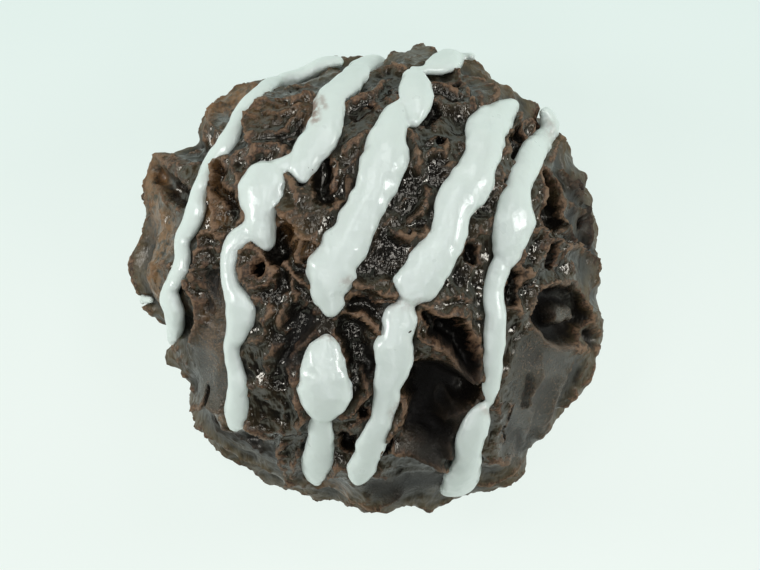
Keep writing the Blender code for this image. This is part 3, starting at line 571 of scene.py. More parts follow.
class Socket:
    """A socket's value in a material, so that shader maths can be written as expressions."""

    def __init__(self, shader, socket):
        self.shader = shader
        self.socket = socket

    def math(self, operation, first, second):
        """A new sum, difference or product."""
        return self.shader.node("ShaderNodeMath", {"operation": operation}, {0: first, 1: second})

    def __add__(self, other):
        return self.math("ADD", self, other)

    def __radd__(self, other):
        return self.math("ADD", other, self)

    def __sub__(self, other):
        return self.math("SUBTRACT", self, other)

    def __rsub__(self, other):
        return self.math("SUBTRACT", other, self)

    def __mul__(self, other):
        return self.math("MULTIPLY", self, other)

    def __rmul__(self, other):
        return self.math("MULTIPLY", other, self)


class Shader:
    """A new material with its main shader, and short ways to add nodes to it."""

    def __init__(self, name):
        self.material = bpy.data.materials.new(name)
        self.material.use_nodes = True
        self.tree = self.material.node_tree
        self.principled = self.tree.nodes["Principled BSDF"]

    def node(self, kind, settings, inputs, output=0):
        """Adds a node: its settings first, then the values or links of its sockets."""
        made = self.tree.nodes.new(kind)
        for key, value in settings.items():
            setattr(made, key, value)
        for key, value in inputs.items():
            self.feed(made.inputs[key], value)
        return Socket(self, made.outputs[output])

    def feed(self, socket, value):
        """Links another socket, or sets the value, with full alpha where it is a colour."""
        if isinstance(value, Socket):
            self.tree.links.new(value.socket, socket)
        elif hasattr(value, "__len__") and len(value) == 3 and socket.type == "RGBA":
            socket.default_value = (*value, 1.0)
        else:
            socket.default_value = value

    def finish(self, values):
        """Feeds the main shader's sockets."""
        for key, value in values.items():
            self.feed(self.principled.inputs[key], value)

    def blend(self, share, values):
        """Mixes a second shader, with its own values, over the main one."""
        first = Socket(self, self.principled.outputs[0])
        second = self.node("ShaderNodeBsdfPrincipled", {}, values)
        blended = self.node("ShaderNodeMixShader", {}, {0: share, 1: first, 2: second})
        self.tree.links.new(blended.socket, self.tree.nodes["Material Output"].inputs["Surface"])

    def millimetres(self):
        """The place on the object, in millimetres."""
        metres = self.node("ShaderNodeTexCoord", {}, {}, "Object")
        return self.node("ShaderNodeVectorMath", {"operation": "SCALE"}, {0: metres, "Scale": 1.0 / MM})

    def grain(self, at, per_mm, detail=2.0, roughness=0.5, distortion=0.0):
        """Smooth noise from 0 to 1, with so many bumps per millimetre."""
        return self.node("ShaderNodeTexNoise", {}, {"Vector": at, "Scale": per_mm, "Detail": detail,
                                                    "Roughness": roughness, "Distortion": distortion}, "Fac")

    def attribute(self, name):
        """A value that the mesh keeps for each of its points."""
        return self.node("ShaderNodeAttribute", {"attribute_name": name}, {}, "Fac")

    def ramp(self, value, low, high):
        """0 at low, 1 at high, and smooth between."""
        return self.node("ShaderNodeMapRange", {"interpolation_type": "SMOOTHSTEP"},
                         {"Value": value, "From Min": low, "From Max": high})

    def stretched(self, at, along):
        """The places scaled by a factor along each axis, for bumps that are drawn out."""
        return self.node("ShaderNodeVectorMath", {"operation": "MULTIPLY"}, {0: at, 1: along})

    def mix(self, share, first, second):
        """A colour between first and second."""
        return self.node("ShaderNodeMix", {"data_type": "RGBA"}, {0: share, 6: first, 7: second}, 2)


def smooth_step(x):
    """0 below 0, 1 above 1 and smooth between."""
    x = np.clip(x, 0.0, 1.0)
    return x * x * (3.0 - 2.0 * x)


def fading(share, steepness):
    """1 near the middle and 0 from a share of 1 on: the steeper, the wider the part that stays at 1."""
    return 1.0 - smooth_step(share * steepness - (steepness - 1.0))


def sizes():
    """The dome's sizes in millimetres, read from the form's settings."""
    form = bpy.context.scene.praline_form
    return (form.belly_radius / MM, form.belly_height / MM, form.top_height / MM, form.bottom_depth / MM,
            form.shoulder)


def shell(directions):
    """The plain dome's points along unit directions from its belly's middle, and its outward normals."""
    belly_radius, belly_height, top_height, bottom_depth, shoulder = sizes()
    flat = np.maximum(np.hypot(directions[:, 0], directions[:, 1]), 1e-9)
    rise = directions[:, 2]
    height = np.where(rise > 0.0, top_height - belly_height, bottom_depth)
    angle = np.degrees(np.arctan2(directions[:, 1], directions[:, 0])) % 360.0
    step = 360.0 / len(OUTLINE)
    share = np.interp(angle, np.arange(len(OUTLINE) + 1) * step, OUTLINE + OUTLINE[:1])
    for azimuth, spread, height_share in RIM_LUMPS.values():
        away = (angle - azimuth + 180.0) % 360.0 - 180.0
        share = share + height_share * np.exp(-((away / spread) ** 2))
    belly = belly_radius * (1.0 + (share - 1.0) * smooth_step(flat * 1.6 - 0.6))
    reach = ((flat / belly) ** shoulder + (np.abs(rise) / height) ** shoulder) ** (-1.0 / shoulder)
    points = directions * reach[:, None]
    out = (flat * reach / belly) ** (shoulder - 1.0) / belly
    up = np.sign(rise) * (np.abs(points[:, 2]) / height) ** (shoulder - 1.0) / height
    normals = np.column_stack((directions[:, 0] / flat * out, directions[:, 1] / flat * out, up))
    normals /= np.linalg.norm(normals, axis=1)[:, None]
    lean = np.clip(points[:, 2] / (top_height - belly_height), 0.0, 1.0)
    points[:, 0] += APEX_SHIFT[0] * lean + BASE_SHIFT[0]
    points[:, 1] += APEX_SHIFT[1] * lean + BASE_SHIFT[1]
    points[:, 2] += belly_height
    return points, normals


def place(u, v):
    """The direction from the belly's middle to what the photograph shows at pixel u, v."""
    belly_radius, belly_height, top_height, _, shoulder = sizes()
    rise = top_height - belly_height
    z = rise
    for _ in range(30):
        closer = 1.0 - z / (CAMERA_HEIGHT - belly_height)
        x = (u - PHOTO_MIDDLE[0]) / PIXELS_PER_MM * closer - BASE_SHIFT[0]
        y = (PHOTO_MIDDLE[1] - v) / PIXELS_PER_MM * closer - BASE_SHIFT[1]
        lean = z / rise
        across = math.hypot(x - APEX_SHIFT[0] * lean, y - APEX_SHIFT[1] * lean) / belly_radius
        across = min(across, DOME_EDGE)
        z = 0.5 * z + 0.5 * rise * (1.0 - across**shoulder) ** (1.0 / shoulder)
    found = np.array((x - APEX_SHIFT[0] * z / rise, y - APEX_SHIFT[1] * z / rise, z))
    return found / np.linalg.norm(found)


def metres_at(u, v):
    """Where pixel u, v lies at the height of the belly, right and up of the praline's middle, in metres."""
    return (u - PHOTO_MIDDLE[0]) / PIXELS_PER_MM * MM, (PHOTO_MIDDLE[1] - v) / PIXELS_PER_MM * MM


def pixel_of(x, y, z):
    """Where the photograph shows a point, given in millimetres."""
    closer = (CAMERA_HEIGHT - z) / (CAMERA_HEIGHT - sizes()[1])
    return (PHOTO_MIDDLE[0] + x / closer * PIXELS_PER_MM, PHOTO_MIDDLE[1] - y / closer * PIXELS_PER_MM)


def line_on_shell(stops, lifts=None, lean=(0.0, 0.0)):
    """The stops' places on the plain dome, so that the photograph shows them there once they are lifted."""
    aims = [(stop[0], stop[1]) for stop in stops]
    points, normals = shell(np.array([place(*aim) for aim in aims]))
    if lifts is None:
        return points
    for _ in range(3):
        tops = points + normals * np.array(lifts)[:, None] + (lean[0], lean[1], 0.0)
        seen = [pixel_of(*top) for top in tops]
        aims = [(aim[0] + stop[0] - u, aim[1] + stop[1] - v) for aim, stop, (u, v) in zip(aims, stops, seen)]
        points, normals = shell(np.array([place(*aim) for aim in aims]))
    return points


def nearest_on(points, stops, values, normals):
    """Distance from each point to the line through stops, the value there, and if it is left of the line."""
    best = np.full(len(points), np.inf)
    value = np.zeros(len(points))
    left = np.zeros(len(points), dtype=bool)
    for i in range(max(len(stops) - 1, 1)):
        start, end = stops[i], stops[min(i + 1, len(stops) - 1)]
        run = end - start
        t = np.clip((points - start) @ run / max(run @ run, 1e-9), 0.0, 1.0)
        distance = np.linalg.norm(points - start - t[:, None] * run, axis=1)
        closer = distance < best
        best[closer] = distance[closer]
        last = values[min(i + 1, len(values) - 1)]
        value[closer] = values[i] + t[closer] * (last - values[i])
        turned = (np.cross(run, points[closer] - start) * normals[closer]).sum(1)
        left[closer] = turned > 0.0
    return best, value, left


def near(points, line, reach):
    """Which points lie within reach of the box round a line."""
    low, high = line.min(0) - reach, line.max(0) + reach
    return np.flatnonzero(np.all((points > low) & (points < high), axis=1))


def distance_from(points, line, normals):
    """How far each point lies from a line."""
    return nearest_on(points, line, [1.0] * len(line), normals)[0]


def crag_noise(points, calm):
    """The height of the web of crests at each point: narrow crests and wide smooth hollows."""
    heights = np.zeros(len(points))
    for row, point in enumerate(points):
        spot = Vector(point)
        spot = spot + noise.noise_vector(spot / BEND_SIZE) * BEND_REACH
        away = math.hypot(noise.noise(spot / CRAG_SIZE), CRAG_ROUNDING) - CRAG_ROUNDING
        ridge = 1.0 - min(1.0, away * CRAG_SHARPNESS)
        ridge *= ridge
        left = CRAG_WHERE_CALM + (1.0 - CRAG_WHERE_CALM) * calm[row]
        heights[row] = (ridge - CRAG_BELOW) * CRAG_HEIGHT * left
        weight = (CRAG_WHERE_CALM + (1.0 - CRAG_WHERE_CALM) * ridge) * calm[row]
        for size, height in SCOOP_LAYERS:
            away = min(noise.voronoi(spot / size)[0][0], 1.0)
            heights[row] += (away * away - CRAG_BELOW) * height * weight
    return heights


def ragged(points):
    """The points moved a little to and fro, so that a straight crest comes out ragged."""
    moved = np.empty_like(points)
    for row, point in enumerate(points):
        spot = Vector(point)
        moved[row] = spot + noise.noise_vector(spot / SWING_SIZE) * SWING_REACH
    return moved


def on_shell(points):
    """The plain dome's points over or under the given ones, in millimetres, and its normals."""
    directions = points - (BASE_SHIFT[0], BASE_SHIFT[1], sizes()[1])
    return shell(directions / np.linalg.norm(directions, axis=1)[:, None])


def calmness(points, normals):
    """1 on rough skin, and down to a tenth on the smooth stretches."""
    calm = np.ones(len(points))
    for radius, stops in CALM_STRETCHES.values():
        distance = distance_from(points, line_on_shell(stops), normals)
        calm = np.minimum(calm, 1.0 - 0.9 * fading(distance / radius, 1.6))
    return calm


def icing_cover(points, normals):
    """1 under the middle of an icing line, and 0 outside it."""
    cover = np.zeros(len(points))
    for stops in DRIZZLE.values():
        line = line_on_shell(stops, [ICING_LIFT] * len(stops))
        halves = [width / 2.0 for _, _, width in stops]
        rows = near(points, line, max(halves) * 1.2)
        distance, half, _ = nearest_on(points[rows], line, halves, normals[rows])
        share = 1.0 - smooth_step(distance / half * 1.7 - 0.9)
        cover[rows] = np.maximum(cover[rows], share)
    return cover


def relief(directions):
    """The craggy skin's points, in millimetres, along unit directions from the belly's middle."""
    noise.seed_set(CRAG_SEED)
    points, normals = shell(directions)
    lift = crag_noise(points, calmness(points, normals))
    searched = ragged(points)
    shift = np.zeros_like(points)
    crest_lift = np.zeros(len(points))
    for left_width, right_width, lean, stops in CRESTS.values():
        heights = [h for _, _, h in stops]
        line = line_on_shell(stops, heights, lean)
        rows = near(searched, line, max(left_width, right_width) * SLOPE_REACH)
        distance, height, left = nearest_on(searched[rows], line, heights, normals[rows])
        width = np.where(left, left_width, right_width)
        share = np.exp(-((distance / width) ** SLOPE_POWER))
        crest_lift[rows] = np.maximum(crest_lift[rows], share * height)
        shift[rows, 0] += lean[0] * share
        shift[rows, 1] += lean[1] * share
    depth = np.zeros(len(points))
    for radius, stops in HOLLOWS.values():
        line = line_on_shell(stops)
        rows = near(searched, line, radius)
        distance, deep, _ = nearest_on(searched[rows], line, [d for _, _, d in stops], normals[rows])
        depth[rows] = np.maximum(depth[rows], deep * fading(distance / radius, 1.3))
    for u, v, radius, deep in PORES:
        centre = line_on_shell(((u, v),))
        rows = near(points, centre, radius * 1.5)
        rim = searched[rows] * PORE_RAGGED + points[rows] * (1.0 - PORE_RAGGED)
        distance = np.linalg.norm(rim - centre, axis=1)
        depth[rows] += deep * fading(distance / radius, 1.8)
    low, high = WEB_HEIGHTS
    lift *= 1.0 - (1.0 - WEB_ON_TOP) * smooth_step((points[:, 2] - low) / (high - low))
    lift *= 1.0 - (1.0 - WEB_BY_CRESTS) * smooth_step(crest_lift + depth)
    lift += crest_lift
    lift -= icing_cover(points, normals) * np.maximum(lift - ICING_BED, 0.0)
    inward = normals + (0.0, 0.0, HOLLOW_DROP)
    inward /= np.linalg.norm(inward, axis=1)[:, None]
    return points + normals * lift[:, None] - inward * depth[:, None] + shift


def points_of(target):
    """The mesh's points, in metres."""
    points = np.empty(len(target.data.vertices) * 3)
    target.data.vertices.foreach_get("co", points)
    return points.reshape(-1, 3)


def move_to(target, points):
    """Moves the mesh's points to the given places, in metres."""
    target.data.vertices.foreach_set("co", points.ravel())
    target.data.update()


def even_directions(target):
    """Unit directions of a subdivided cube's corners, spread evenly over a sphere."""
    directions = np.tan(points_of(target) * math.pi / 4.0)
    return directions / np.linalg.norm(directions, axis=1)[:, None]


def start_clean():
    """Leaves object mode's selection empty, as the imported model's pieces come in selected."""
    if bpy.context.object and bpy.context.object.mode != "OBJECT":
        bpy.ops.object.mode_set(mode="OBJECT")
    bpy.ops.object.select_all(action="DESELECT")


def select_only(target):
    """Makes one object the only selected one and the active one."""
    start_clean()
    target.select_set(True)
    bpy.context.view_layer.objects.active = target


def edit_all(target):
    """Opens an object for editing with all of its mesh selected."""
    select_only(target)
    bpy.ops.object.mode_set(mode="EDIT")
    bpy.ops.mesh.select_all(action="SELECT")


def apply_all(target):
    """Applies every modifier in order."""
    select_only(target)
    for modifier in list(target.modifiers):
        bpy.ops.object.modifier_apply(modifier=modifier.name)


def divided_ball(name, squares):
    """A cube with so many squares along each side, a multiple of four, ready to be pushed out to a skin."""
    start_clean()
    bpy.ops.mesh.primitive_cube_add(size=2.0)
    ball = bpy.context.object
    ball.name = ball.data.name = name
    edit_all(ball)
    # In two steps, because one step makes at most 100 cuts
    bpy.ops.mesh.subdivide(number_cuts=squares // 4 - 1)
    bpy.ops.mesh.subdivide(number_cuts=3)
    bpy.ops.object.mode_set(mode="OBJECT")
    return ball


def push_out(ball):
    """Moves a divided ball's points to the craggy skin."""
    move_to(ball, relief(even_directions(ball)) * MM)


def smoothed_copy(target, iterations):
    """The points of the mesh after so many rounds of smoothing."""
    select_only(target)
    bpy.ops.object.duplicate()
    copy = bpy.context.object
    settle = copy.modifiers.new("settle", "SMOOTH")
    settle.factor = 0.5
    settle.iterations = iterations
    apply_all(copy)
    points = points_of(copy)
    bpy.data.objects.remove(copy)
    return points


def proud_of(target, iterations):
    """How far each point stands proud of the smoothed mesh, and its place and normal."""
    points = points_of(target)
    normals = np.empty(points.size)
    target.data.vertices.foreach_get("normal", normals)
    normals = normals.reshape(-1, 3)
    return ((points - smoothed_copy(target, iterations)) * normals).sum(1), points, normals


def blunt_sides(target):
    """Rounds the crests where the skin is steep, as they stand out against the floor there."""
    points = points_of(target)
    low, high = BLUNT_HEIGHTS
    steep = 1.0 - smooth_step((points[:, 2] / MM - low) / (high - low))
    move_to(target, points + (smoothed_copy(target, BLUNT_ROUNDS) - points) * steep[:, None])


def add_grain(target):
    """Roughens the skin with fine wrinkles and lumps, mostly on the crests."""
    proud, points, normals = proud_of(target, WRINKLE_ROUNDS)
    crest = smooth_step(proud / (WRINKLED_CREST * MM) + 0.4)
    crest = np.maximum(crest, 0.6 * smooth_step((points[:, 2] / MM - GRAINY_ABOVE[0]) / GRAINY_ABOVE[1]))
    calm = calmness(*on_shell(points / MM))
    low, high = WEB_HEIGHTS
    calm *= GRAIN_ON_SIDES + (1.0 - GRAIN_ON_SIDES) * smooth_step((points[:, 2] / MM - low) / (high - low))
    for row in range(len(points)):
        spot = Vector(points[row]) / MM
        lump = 0.0
        for size, height in GRAIN_LAYERS:
            ridge = 1.0 - min(1.0, math.hypot(noise.noise(spot / size), CRAG_ROUNDING) * GRAIN_SHARPNESS)
            lump += (ridge * ridge - 0.35) * height
            lump += noise.noise(spot / size * 1.7) * height * 0.6
        share = WRINKLES_ELSEWHERE + (1.0 - WRINKLES_ELSEWHERE) * crest[row]
        points[row] += normals[row] * lump * share * calm[row] * MM
    move_to(target, points)


def store(target, name, values):
    """Keeps a value for each point of the mesh, for the material to read."""
    stored = target.data.attributes.new(name, "FLOAT", "POINT")
    stored.data.foreach_set("value", values.astype(np.float32))


def mark_heights(target):
    """Stores from 0 to 1 how crest-like, open, rough and brown the skin is, and its tone, whose darker part is
    painted shade.
    """
    proud, points, _ = proud_of(target, CREST_ROUNDS)
    store(target, "crest", np.clip(0.5 + 0.5 * proud / (CREST_MARK * MM), 0.0, 1.0))
    proud = proud_of(target, HOLLOW_ROUNDS)[0]
    store(target, "hollow", np.clip(0.5 + 0.5 * proud / (OPEN_MARK * MM), 0.0, 1.0))
    on_dome, normals = on_shell(points / MM)
    store(target, "rough", calmness(on_dome, normals))
    brown = np.zeros(len(points))
    for _, _, lean, stops in CRESTS.values():
        line = line_on_shell(stops, [height for _, _, height in stops], lean)
        rows = near(on_dome, line, BROWN_REACH * 2.0)
        distance = distance_from(on_dome[rows], line, normals[rows])
        brown[rows] = np.maximum(brown[rows], np.exp(-((distance / BROWN_REACH) ** 2)))
    store(target, "brown", brown)
    # Browner stretches raise it, and the darker stretches, which are painted shade, lower it
    tone_and_shade = np.full(len(points), 0.5)
    for radius, strength, stops in BROWNS_AND_SHADES.values():
        distance = distance_from(on_dome, line_on_shell(stops), normals)
        tone_and_shade += 0.5 * strength * np.exp(-((distance / radius) ** 2))
    store(target, "tone_and_shade", np.clip(tone_and_shade, 0.0, 1.0))


class PRALINE_OT_chocolate(bpy.types.Operator):
    """Model the craggy chocolate and cut its base flat"""

    bl_idname = "praline.chocolate"
    bl_label = "Chocolate"

    def execute(self, context):
        form = context.scene.praline_form
        squares = form.squares
        ball = divided_ball("chocolate_coat", squares)
        push_out(ball)
        ball.modifiers.new("soften", "SMOOTH").factor = 0.25
        apply_all(ball)
        blunt_sides(ball)
        add_grain(ball)
        edit_all(ball)
        bpy.ops.mesh.bisect(plane_co=(0.0, 0.0, 0.0), plane_no=(0.0, 0.0, 1.0), clear_inner=True,
                            use_fill=True, threshold=1e-7)
        bpy.ops.object.mode_set(mode="OBJECT")
        mark_heights(ball)
        select_only(ball)
        ball.data.materials.append(chocolate_material(context.scene.praline_colours))
        bpy.ops.object.shade_smooth()
        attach(ball, "root")
        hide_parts("praline")
        return {"FINISHED"}


def chocolate_material(colours):
    """Dark chocolate: glossy in the hollows, dull brown on the crests, lighter along torn edges, with painted
    shade.
    """
    shader = Shader("chocolate")

    # Patterns, and what the mesh keeps
    at = shader.millimetres()
    streak = shader.grain(shader.stretched(at, (1.0, 0.2, 0.6)), 3.0, roughness=0.6, distortion=0.5)
    dimples = shader.grain(shader.stretched(at, (1.0, 0.45, 0.8)), 3.4, detail=1.0)
    lumps = shader.grain(at, 1.7, detail=1.0)
    fine = shader.grain(at, 5.5, detail=3.0, roughness=0.65)
    coarse = shader.grain(at, 1.9, detail=4.0, roughness=0.65)
    cloud = shader.grain(at, 0.4, detail=3.0)
    crest = shader.attribute("crest")
    hollow = shader.attribute("hollow")
    brown = shader.attribute("brown")
    tone_and_shade = shader.attribute("tone_and_shade")
    rough = 0.25 + 0.75 * shader.attribute("rough")

    # Shares of the chocolate's looks, from 0 to 1
    rise = shader.node("ShaderNodeSeparateXYZ", {}, {0: at}, "Z")
    dull_share = shader.ramp(rise, 18.0, 11.0) * shader.ramp(rough, 0.4, 1.0)
    open_share = shader.ramp(hollow + (coarse - 0.5) * 0.35, 0.36, 0.72)
    crest_share = shader.ramp(crest + (coarse - 0.5) * 0.9 + (hollow - 0.5) * 0.5 + (brown - 0.4) * 0.35,
                              0.58, 1.05) * rough
    torn_share = shader.ramp(crest + (fine - 0.5) * 0.9 + (hollow - 0.5) * 0.3 + (brown - 0.4) * 0.2,
                             0.90, 1.20) * rough
    ruddy_share = shader.ramp(tone_and_shade, 0.5, 0.95) * shader.ramp(coarse, 0.32, 0.60)
    # Painted shade: the darker stretches, where the colour falls towards near black
    dark = shader.ramp(tone_and_shade, 0.5, 0.05)
    specks = shader.ramp(fine, 0.52, 0.70) * (1.0 - rough) * (1.0 - dark)
    sheltered = (1.0 - rough) * shader.ramp(hollow, 0.5, 0.3)

    # Colour
    skin = shader.mix(dull_share, colours.skin, colours.side)
    # Painted shade: the colour falls to near black where the skin lies deep in a hollow
    colour = shader.mix(open_share, colours.hollow, skin)
    dull = shader.mix(shader.ramp(fine, 0.38, 0.60), colours.crest_dark, colours.crest)
    colour = shader.mix(crest_share * shader.ramp(cloud, 0.25, 0.6), colour, dull)
    colour = shader.mix(ruddy_share, colour, colours.ruddy)
    colour = shader.mix(torn_share * 0.7 + specks * 0.7, colour, colours.torn)
    # Painted shade over the darker stretches
    colour = shader.mix(dark * 0.75, colour, colours.hollow)
    colour = shader.mix(shader.ramp(streak, 0.5, 0.3) * 0.35, colour, colours.hollow)

    # Gloss and relief
    roughness = 0.15 + 0.27 * crest_share + 0.06 * open_share + 0.25 * dull_share + 0.55 * sheltered
    crumbs = shader.grain(at, 7.0, detail=1.0) * crest_share
    uneven = shader.ramp(rough, 0.2, 0.9)
    sand = 1.6 * fine * (1.0 - rough)
    height = (0.5 * dimples + 0.7 * lumps + 0.15 * streak) * uneven + 0.1 * streak + 0.35 * crumbs + sand
    bump = shader.node("ShaderNodeBump", {}, {"Strength": 1.0, "Distance": 0.13 * MM, "Height": height})
    shader.finish({"Base Color": colour, "Roughness": roughness, "Normal": bump, "Specular IOR Level": 0.7,
                   "Specular Tint": (1.0, 0.96, 0.86, 1.0)})

    # A duller shader over it on crests, in sheltered places and in the stretches of painted shade
    dry = 0.65 * crest_share + 0.7 * sheltered + 0.8 * dark
    shader.blend(dry, {"Base Color": colour, "Roughness": 0.6, "Normal": bump, "Specular IOR Level": 0.25})
    return shader.material


def skin_finder():
    """A function that finds the settled skin, which the icing lies on, in any direction."""
    ball = divided_ball("settled_skin", SETTLED_SQUARES)
    push_out(ball)
    points = smoothed_copy(ball, SETTLED_ROUNDS) / MM
    squares = [tuple(face.vertices) for face in ball.data.polygons]
    tree = BVHTree.FromPolygons([Vector(point) for point in points], squares)
    bpy.data.objects.remove(ball)
    middle = Vector((BASE_SHIFT[0], BASE_SHIFT[1], sizes()[1]))

    def reach(direction):
        """The belly's middle and the distance from it to the skin, in millimetres."""
        return middle, tree.ray_cast(middle, Vector(direction))[3]

    return reach


def along(points, steps):
    """A smooth curve through points, given as an array of rows, as steps + 1 rows evenly spread."""
    rows = np.vstack((2.0 * points[0] - points[1], points, 2.0 * points[-1] - points[-2]))
    curve = []
    for run in np.linspace(0.0, len(points) - 1.0, steps + 1):
        i = min(int(run), len(points) - 2)
        t = run - i
        a, b, c, d = rows[i : i + 4]
        curve.append(0.5 * (2 * b + (c - a) * t + (2 * a - 5 * b + 4 * c - d) * t**2
                            + (3 * b - a - 3 * c + d) * t**3))
    return np.array(curve)


def laid_centre(u, v, reach, lift):
    """The place above the skin that the photograph shows at pixel u, v, and the dome's normal there."""
    aim_u, aim_v = u, v
    for _ in range(9):
        way = place(aim_u, aim_v)
        middle, distance = reach(way)
        centre = middle + Vector(way) * (distance + lift)
        seen_u, seen_v = pixel_of(*centre)
        aim_u += 0.6 * (u - seen_u)
        aim_v += 0.6 * (v - seen_v)
    return centre, Vector(shell(way[None, :])[1][0])


def icing_rings(stops, reach, rise, flatness, extra):
    """Points and faces of one run of icing: flattened round rings along the skin, closed by pointed ends."""
    rows = np.array(stops, dtype=float)
    length = np.linalg.norm(np.diff(rows[:, :2], axis=0), axis=1).sum() / PIXELS_PER_MM
    steps = max(3, round(length * RINGS_PER_MM))
    rows = along(rows, steps)
    halves = np.maximum(rows[:, 2], NARROWEST_ICING) / 2.0
    even = max(1, round(RINGS_PER_MM * EVENED_OVER))
    padded = np.pad(halves, even, mode="edge")
    thick = np.array([padded[i : i + 2 * even + 1].mean() for i in range(steps + 1)])
    thick = np.minimum(thick, halves * HIGHEST) * flatness
    laid = [laid_centre(u, v, reach, rise * high + extra) for (u, v, _), high in zip(rows, thick)]
    centres = [centre for centre, _ in laid]
    points = []
    for i, centre in enumerate(centres):
        run = (centres[min(i + 1, steps)] - centres[max(i - 1, 0)]).normalized()
        side = run.cross(laid[i][1]).normalized()
        out = side.cross(run)
        wide = halves[i] / math.sqrt(1.0 - side.z**2 * (1.0 - flatness**2))
        for k in range(RING_SIDES):
            turn = 2.0 * math.pi * k / RING_SIDES
            spoke = side * math.cos(turn) * wide + out * math.sin(turn) * thick[i]
            spot = centre + spoke
            swell = sum(share * noise.noise(spot / size) for size, share in SWELLS)
            points.append(centre + spoke * (1.0 + (0.05 + 0.10 * abs(math.cos(turn))) * swell))
    for i, sign in ((0, -1.0), (steps, 1.0)):
        run = (centres[max(i, 1)] - centres[max(i, 1) - 1]).normalized() * sign
        points.append(centres[i] + run * halves[i] * 0.6)
    faces = []
    for i in range(steps):
        for k in range(RING_SIDES):
            a, b = i * RING_SIDES + k, i * RING_SIDES + (k + 1) % RING_SIDES
            faces.append((a, b, b + RING_SIDES, a + RING_SIDES))
    first, last = len(points) - 2, len(points) - 1
    ring = steps * RING_SIDES
    for k in range(RING_SIDES):
        after = (k + 1) % RING_SIDES
        faces.append((after, k, first))
        faces.append((ring + k, ring + after, last))
    return points, faces


def mark_stains(icing):
    """Stores how much chocolate shows through the icing at each point."""
    x, y, z = points_of(icing).T / MM
    seen = np.column_stack(pixel_of(x, y, z))
    stain = np.zeros(len(seen))
    for radius, strength, stops in STAINS:
        places = np.array(stops, dtype=float)
        for start, end in zip(places[:-1], places[1:]):
            run = end - start
            t = np.clip((seen - start) @ run / (run @ run), 0.0, 1.0)
            distance = np.linalg.norm(seen - start - t[:, None] * run, axis=1) / PIXELS_PER_MM / radius
            stain = np.maximum(stain, strength * (1.0 - smooth_step(distance * 0.6)))
    store(icing, "stain", stain)


class PRALINE_OT_crumbs(bpy.types.Operator):
    """Drop the few crumbs of chocolate that lie on the icing"""

    bl_idname = "praline.crumbs"
    bl_label = "Crumbs"

    def execute(self, context):
        icing = context.scene.objects.get("icing_lines")
        if icing is None:
            raise RuntimeError("Lay the icing first")
        start_clean()
        pieces = []
        for u, v, long, wide, turn in CRUMBS:
            x, y = metres_at(u, v)
            above = (x * TOP_NEARER, y * TOP_NEARER, DROP_HEIGHT)
            hit, spot, _, _ = icing.ray_cast(above, (0.0, 0.0, -1.0))
            if not hit:
                raise RuntimeError("A crumb misses the icing")
            bpy.ops.mesh.primitive_ico_sphere_add(subdivisions=3, radius=CRUMB_RADIUS * MM, location=spot,
                                                  rotation=(0.0, 0.0, math.radians(turn)))
            crumb = context.object
            crumb.scale = (long, wide, wide)
            pieces.append(crumb)
        for crumb in pieces:
            crumb.select_set(True)
        bpy.ops.object.join()
        crumbs = context.object
        crumbs.name = crumbs.data.name = "crumbs"
        bpy.ops.object.transform_apply(location=True, rotation=True, scale=True)
        crumbs.data.materials.append(bpy.data.materials["chocolate"])
        bpy.ops.object.shade_smooth()
        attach(crumbs, "root")
        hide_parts("praline")
        return {"FINISHED"}


class PRALINE_OT_icing(bpy.types.Operator):
    """Lay the lines of white icing over the chocolate"""

    bl_idname = "praline.icing"
    bl_label = "Icing"

    def execute(self, context):
        form = context.scene.praline_form
        reach = skin_finder()
        points, faces = [], []
        for name, stops in DRIZZLE.items():
            ring_points, ring_faces = icing_rings(stops, reach, form.icing_rise, form.icing_flatness,
                                                  ON_CRESTS.get(name, 0.0))
            faces += [tuple(i + len(points) for i in face) for face in ring_faces]
            points += [p * MM for p in ring_points]
        mesh = bpy.data.meshes.new("icing_lines")
        mesh.from_pydata(points, [], faces)
        icing = bpy.data.objects.new("icing_lines", mesh)
        context.scene.collection.objects.link(icing)
        edit_all(icing)
        bpy.ops.mesh.normals_make_consistent(inside=False)
        bpy.ops.object.mode_set(mode="OBJECT")
        melt = icing.modifiers.new("melt together", "REMESH")
        melt.mode = "VOXEL"
        melt.voxel_size = form.icing_grid * 1.0
        soften = icing.modifiers.new("soften", "SMOOTH")
        soften.factor = 0.5
        soften.iterations = 5
        apply_all(icing)
        mark_stains(icing)
        icing.data.materials.append(icing_material(context.scene.praline_colours))
        bpy.ops.object.shade_smooth()
        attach(icing, "root")
        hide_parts("praline")
        return {"FINISHED"}


def icing_material(colours):
    """White icing with a wet gloss and a little light passing through it."""
    shader = Shader("icing")
    at = shader.millimetres()
    cloud = shader.grain(at, 0.6)
    colour = shader.mix(cloud, colours.icing, tuple(0.93 * part for part in colours.icing))
    patchy = shader.ramp(shader.grain(at, 2.2, detail=3.0, roughness=0.6), 0.36, 0.60)
    colour = shader.mix(shader.attribute("stain") * patchy, colour, colours.icing_thin)
    height = shader.grain(at, 1.3, detail=1.0) + 0.22 * shader.grain(at, 4.0, detail=1.0)
    bump = shader.node("ShaderNodeBump", {}, {"Strength": 0.5, "Distance": 0.12 * MM, "Height": height})
    shader.finish({"Base Color": colour, "Roughness": 0.25 + 0.08 * cloud, "Normal": bump,
                   "Subsurface Weight": 0.15, "Subsurface Radius": (1.0, 1.0, 0.9),
                   "Subsurface Scale": 0.5 * MM, "Specular IOR Level": 0.75})
    return shader.material


def area_light(name, spot, size, power):
    """A soft square light that looks at the praline."""
    bpy.ops.object.light_add(type="AREA", location=spot)
    light = bpy.context.object
    light.name = name
    light.data.size = size
    light.data.energy = power
    way = Vector((0.0, 0.0, LAMP_AIM)) - Vector(spot)
    light.rotation_euler = way.to_track_quat("-Z", "Y").to_euler()


